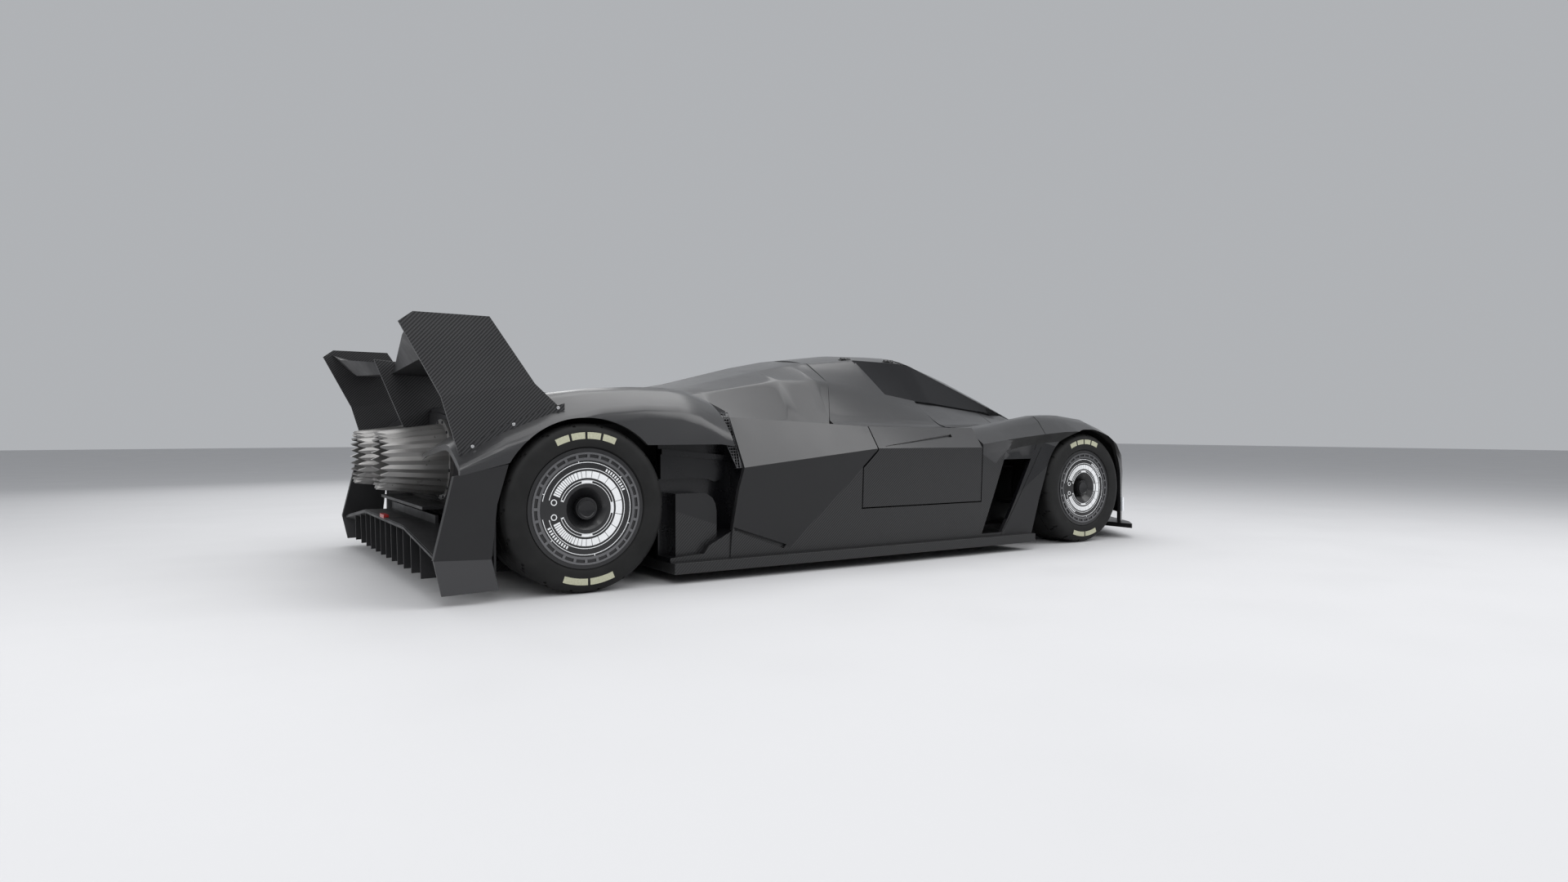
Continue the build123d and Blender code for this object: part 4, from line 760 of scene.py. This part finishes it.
def lattice(centre, size, outward, cell, thread, trims=()):
    """Woven wire mesh over a flat field, trimmed along planes, each a point and its outer side."""
    bpy.ops.object.select_all(action="DESELECT")
    bpy.ops.mesh.primitive_grid_add(x_subdivisions=round(size[0] / cell),
                                    y_subdivisions=round(size[1] / cell), size=1,
                                    location=centre, rotation=turned(outward))
    field = bpy.context.object
    field.scale = (size[0], size[1], 1)
    bpy.ops.object.transform_apply(location=True, rotation=True, scale=True)
    bpy.ops.object.mode_set(mode="EDIT")
    for through, across in trims:
        bpy.ops.mesh.select_all(action="SELECT")
        bpy.ops.mesh.bisect(plane_co=through, plane_no=across, clear_outer=True)
    bpy.ops.object.mode_set(mode="OBJECT")
    threads = field.modifiers.new("threads", "WIREFRAME")
    threads.thickness = thread
    bpy.ops.object.modifier_apply(modifier="threads")
    return field


def flank_face(side, low, high):
    """Outward faces of the lower body side between two heights."""
    return lambda face: (side * face.normal.y > 0.5 and abs(face.center.y) > 0.93
                         and low < face.center.z < high and face.normal.z < 0.15)


def hidden(face):
    """Faces turned down, or upright faces turned towards the inside of the car."""
    inward = -face.normal.y * face.center.y > 0.35 * abs(face.center.y)
    return face.normal.z < -0.3 or (inward and face.normal.z < 0.15)


def above(line, face):
    """Which side of a line drawn on the flank a face lies on."""
    return (face.center - Vector(line[0])).dot(Vector(line[1])) > 0


def in_intake(face):
    """The dark intake ahead of the rear wheel, and the slot under it."""
    x, y, z = face.center.x, abs(face.center.y), face.center.z
    return (x < -0.86 and y < 0.965 and z < 0.56) or (x < -0.67 and y < 0.98 and z < 0.21)


def in_duct(face):
    """The dark duct between the front wheel and the blade behind it."""
    x, y, z = face.center.x, abs(face.center.y), face.center.z
    return 0.62 < x < 1.5 and y > 0.90 and z < 0.52 and not hidden(face)


# The planes that trim the mesh to the outline of the gap ahead of the rear wheel.
GAP_EDGES = (((-0.917, 0, 0.651), (0.207, 0, 0.029)), ((-0.888, 0, 0.444), (0.1, 0, -1.0)),
             ((-0.978, 0, 0.698), (-0.145, 0, -0.028)), ((-0.950, 0, 0.553), (-0.109, 0, -0.038)),
             ((-0.950, 0, 0.668), (0, 0, 1)))

for side, word in ((-1, "right"), (1, "left")):
    outside = flank_face(side, 0.08, 0.50)
    pod = moulding("side_pod_" + word, paint, smooth=25)
    split(pod, *CLOTH_EDGE, lambda face: abs(face.normal.y) > 0.5)
    split(pod, *SLOT_LINE, lambda face: abs(face.normal.y) > 0.5 and face.center.x < -0.62)
    lay(pod, lining, hidden)
    lay(pod, gloss_black, in_intake)
    lay(pod, satin, lambda face: outside(face) and not above(CLOTH_EDGE, face)
        and above(SLOT_LINE, face))
    lay(pod, twill, lambda face: outside(face)
        and (above(CLOTH_EDGE, face) or not above(SLOT_LINE, face)))
    fender = moulding("rear_fender_" + word, paint, smooth=35)
    lay(fender, lining, hidden)
    wing = moulding("front_fender_" + word, paint, smooth=35)
    lay(wing, lining, hidden)
    split(wing, *BLADE_EDGE, lambda face: side * face.normal.y > 0.5
          and 0.45 < face.center.x < 0.95)
    lay(wing, gloss_black, in_duct)
    lay(wing, satin, lambda face: outside(face) and 0.5 < face.center.x < 0.95
        and not above(BLADE_EDGE, face))
    lay(wing, twill, lambda face: outside(face) and face.center.x < 0.60 and face.center.z < 0.46)
    seam(wing, *TOP_JOINT, lambda face: face.center.z > 0.50 and 0.7 < face.center.x < 1.1
         and not hidden(face))
    seam(wing, *SIDE_JOINT, lambda face: face.center.z < 0.505 and 0.5 < face.center.x < 1.1
         and side * face.normal.y > 0.5)
    mesh = lattice((-0.930, side * 0.950, 0.560), (0.14, 0.29), (0, side, 0.28), 0.012, 0.0035,
                   GAP_EDGES)
    done(mesh, f"gap_mesh_{word}", rim_grey, "chassis", smooth=0)

# ---------------------------------------------------------------- doors and windows
# Each gull-wing door is one thick moulding, painted above and bare carbon below, lined
# inside, with its pane bonded in.
for side, word in ((-1, "right"), (1, "left")):
    door = moulding("door_" + word, paint, smooth=30)
    lay(door, trim, hidden)
    lay(door, twill, flank_face(side, 0.2, 0.53))
    moulding("window_" + word, glass, smooth=35)

# ---------------------------------------------------------------- splitter and headlamps
# A flat carbon blade under the nose with its towing eye, held by two screws. The lamps are
# slim white strips, and woven mesh stands behind the slats of each grille.
moulding("front_splitter", twill, smooth=0, edge=0.0015)
lamp_white, tree, shader = finish_of("lamp_white", (0.80, 0.82, 0.85), 0.1, coat=1.0)
tint(tree, shader, blotches(tree, 300, 0, 1), (0.74, 0.77, 0.82), (0.86, 0.88, 0.90))
moulding("headlamps", lamp_white)
moulding("front_grilles", gloss_black)
for y, word in ((-0.59, "right"), (0.59, "left")):
    mesh = lattice((1.648, y, 0.2375), (0.20, 0.125), (1, 0, 0), 0.010, 0.003)
    done(mesh, f"grille_mesh_{word}", joint_black, "chassis", smooth=0)
screws([(1.9, side * 0.35, 0.112) for side in (-1, 1)], (0, 0, 1), "splitter_screws",
       steel_bright, "chassis")

# ---------------------------------------------------------------- fins and rear wing
# Flat carbon plates with a folded flange that is screwed to the wings over the rear wheels.
# They carry the rear wing, a satin moulding in the shape of a flat V.
fin_twill = twill_finish("fin_twill", (0.004, 0.004, 0.0045), (0.036, 0.036, 0.038), 0.42)
moulding("outer_fins", fin_twill, smooth=0, edge=0.0015)
moulding("centre_fin", fin_twill, smooth=0, edge=0.0015)
moulding("rear_wing", satin, smooth=30)
# The flange along each outer fin's foot, and its screws, as (x, z) in side view.
FLANGE = [(-1.990, 0.504), (-1.850, 0.588), (-1.678, 0.654), (-1.625, 0.670)]
FLANGE_SCREWS = [(-1.955, 0.540), (-1.812, 0.617), (-1.650, 0.677)]


def plate(points, across, thick):
    """A plate: its line drawn, widened across and given its thickness; left in edit mode."""
    line = drawn_line(points)
    bpy.ops.mesh.extrude_region_move(TRANSFORM_OT_translate={"value": across})
    bpy.ops.mesh.select_all(action="SELECT")
    bpy.ops.mesh.normals_make_consistent(inside=False)
    bpy.ops.mesh.extrude_region_move(TRANSFORM_OT_translate={"value": thick})
    bpy.ops.mesh.select_all(action="SELECT")
    bpy.ops.mesh.normals_make_consistent(inside=False)
    return line


for side, word in ((-1, "right"), (1, "left")):
    flange = plate([(x, side * 0.9645, z) for x, z in FLANGE], (0, 0, 0.024), (0, side * 0.003, 0))
    done(flange, f"fin_flange_{word}", fin_twill, "chassis")
    screws([(x, side * 0.9685, z) for x, z in FLANGE_SCREWS], (0, side, 0), f"fin_screws_{word}",
           steel_bright, "chassis")

# ---------------------------------------------------------------- tail
# Tail panel with its ledge, the diffuser and its strakes, and the end plates behind the
# rear wheels, all in satin carbon. Two ribbed nozzles are screwed to the tail panel.
moulding("tail_panel", satin, smooth=0, edge=0.001)
moulding("diffuser", satin, smooth=0, edge=0.001)
corners = moulding("rear_corners", satin, smooth=0, edge=0.002)
# A lighter copy of the satin: a painted highlight for the end plates' foot.
satin_painted_highlight, tree, shader = finish_of("satin_painted_highlight", (0.034, 0.034, 0.036), 0.40)
uneven_gloss(tree, shader, 9, 0.34, 0.46)
# The end plates are cut along a line that falls towards the front; their foot gets a painted
# highlight, a lighter satin for the light that a foot bent at that line would catch, though the
# plate is flat there.
split(corners, (-2.0, 0, 0.1555), (0.037, 0, 1.0), lambda face: True)
lay(corners, satin_painted_highlight, lambda face: face.center.z < 0.155 - 0.037 * (face.center.x + 2.0))
nozzle_metal, tree, shader = finish_of("nozzle_metal", (0.26, 0.255, 0.25), 0.30, metal=0.7)
uneven_gloss(tree, shader, 26, 0.27, 0.33)
moulding("exhaust_nozzles", nozzle_metal, smooth=0)
# The nozzles' middle, the radius of their screw circle, and how many screws are in it.
NOZZLE_Y, NOZZLE_Z, SCREW_CIRCLE, FLANGE_HOLES = 0.263, 0.476, 0.157, 12
for side, word in ((-1, "right"), (1, "left")):
    ring = [(-1.9025, side * NOZZLE_Y + SCREW_CIRCLE * math.cos(turn),
             NOZZLE_Z + SCREW_CIRCLE * math.sin(turn))
            for turn in (math.tau * (step + 0.5) / FLANGE_HOLES for step in range(FLANGE_HOLES))]
    screws(ring, (-1, 0, 0), f"flange_screws_{word}", steel, "chassis")
    mesh = lattice((-1.877, side * NOZZLE_Y, NOZZLE_Z), (0.26, 0.26), (-1, 0, 0), 0.013, 0.004)
    done(mesh, f"nozzle_screen_{word}", joint_black, "chassis", smooth=0)
# The deck over the diffuser and the step under the ledge. Columns: name, rear end's x,
# length, thickness, and the line as (y, z) seen from behind.
TAIL_PLATES = (("diffuser_deck", -2.078, 0.188, 0.003, [(-0.984, 0.1625), (-0.434, 0.2285),
                                                        (0.434, 0.2285), (0.984, 0.1625)]),
               ("tail_step", -1.960, 0.012, 0.036, [(-0.434, 0.262), (0.434, 0.262)]))
for name, x, length, thickness, line in TAIL_PLATES:
    deck = plate([(x, y, z) for y, z in line], (length, 0, 0), (0, 0, -thickness))
    done(deck, name, satin, "chassis", smooth=20)
mesh = lattice((-1.899, 0, 0.300), (1.70, 0.090), (-1, 0, 0), 0.0100, 0.003)
done(mesh, "tail_mesh", joint_black, "chassis", smooth=0)
lamp_red, tree, shader = finish_of("lamp_red", (0.30, 0.012, 0.012), 0.35, coat=0.2,
                                   coat_rough=0.2)
tint(tree, shader, blotches(tree, 300, 0, 1), (0.24, 0.008, 0.008), (0.36, 0.016, 0.016))
moulding("tail_lamps", lamp_red)

# ---------------------------------------------------------------- studio
# A plain pale floor, large soft lamps above and around the car, a pale world and the
# camera, which stands low beyond the right rear corner.
pale, tree, shader = finish_of("studio_floor", (0.56, 0.56, 0.57), 0.7)
uneven_gloss(tree, shader, 2, 0.6, 0.8)
bpy.ops.mesh.primitive_plane_add(size=60, location=(0, 0, 0))
floor = bpy.context.object
floor.name = "studio_floor"
floor.data.materials.append(pale)

# Columns: name, place, the point it is aimed at, size in metres, power in watts.
LAMPS = (("key", (-3.5, -5.5, 4.5), (0, 0, 0.4), 4.0, 150),
         ("top", (0, 0, 5.5), (0, 0, 0), 6.0, 230),
         ("fill", (3.2, -4.6, 4.0), (-0.5, -0.9, 0.5), 4.5, 170),
         ("back", (-1.0, 6.0, 4.0), (0, 0, 0.6), 5.0, 110),
         ("tail", (-6.0, -1.2, 2.4), (-2.0, 0, 0.4), 3.0, 80))
for name, place, aim, size, power in LAMPS:
    bpy.ops.object.light_add(type="AREA", location=place)
    lamp = bpy.context.object
    lamp.name = "lamp_" + name
    lamp.data.size = size
    lamp.data.energy = power
    lamp.rotation_euler = (Vector(aim) - Vector(place)).to_track_quat("-Z", "Y").to_euler()
world = bpy.data.worlds.new("studio")
bpy.context.scene.world = world
world.use_nodes = True
sky = world.node_tree.nodes["Background"]
sky.inputs["Color"].default_value = (0.70, 0.72, 0.75, 1)
sky.inputs["Strength"].default_value = 0.62
bpy.ops.object.camera_add(location=(-2.820, -4.289, 0.600),
                          rotation=(math.radians(90 - 0.72), 0, math.radians(-32.84)))
camera = bpy.context.object
camera.data.sensor_width = 36
camera.data.lens = 21.713
bpy.context.scene.camera = camera
bpy.context.scene.view_settings.view_transform = "Standard"
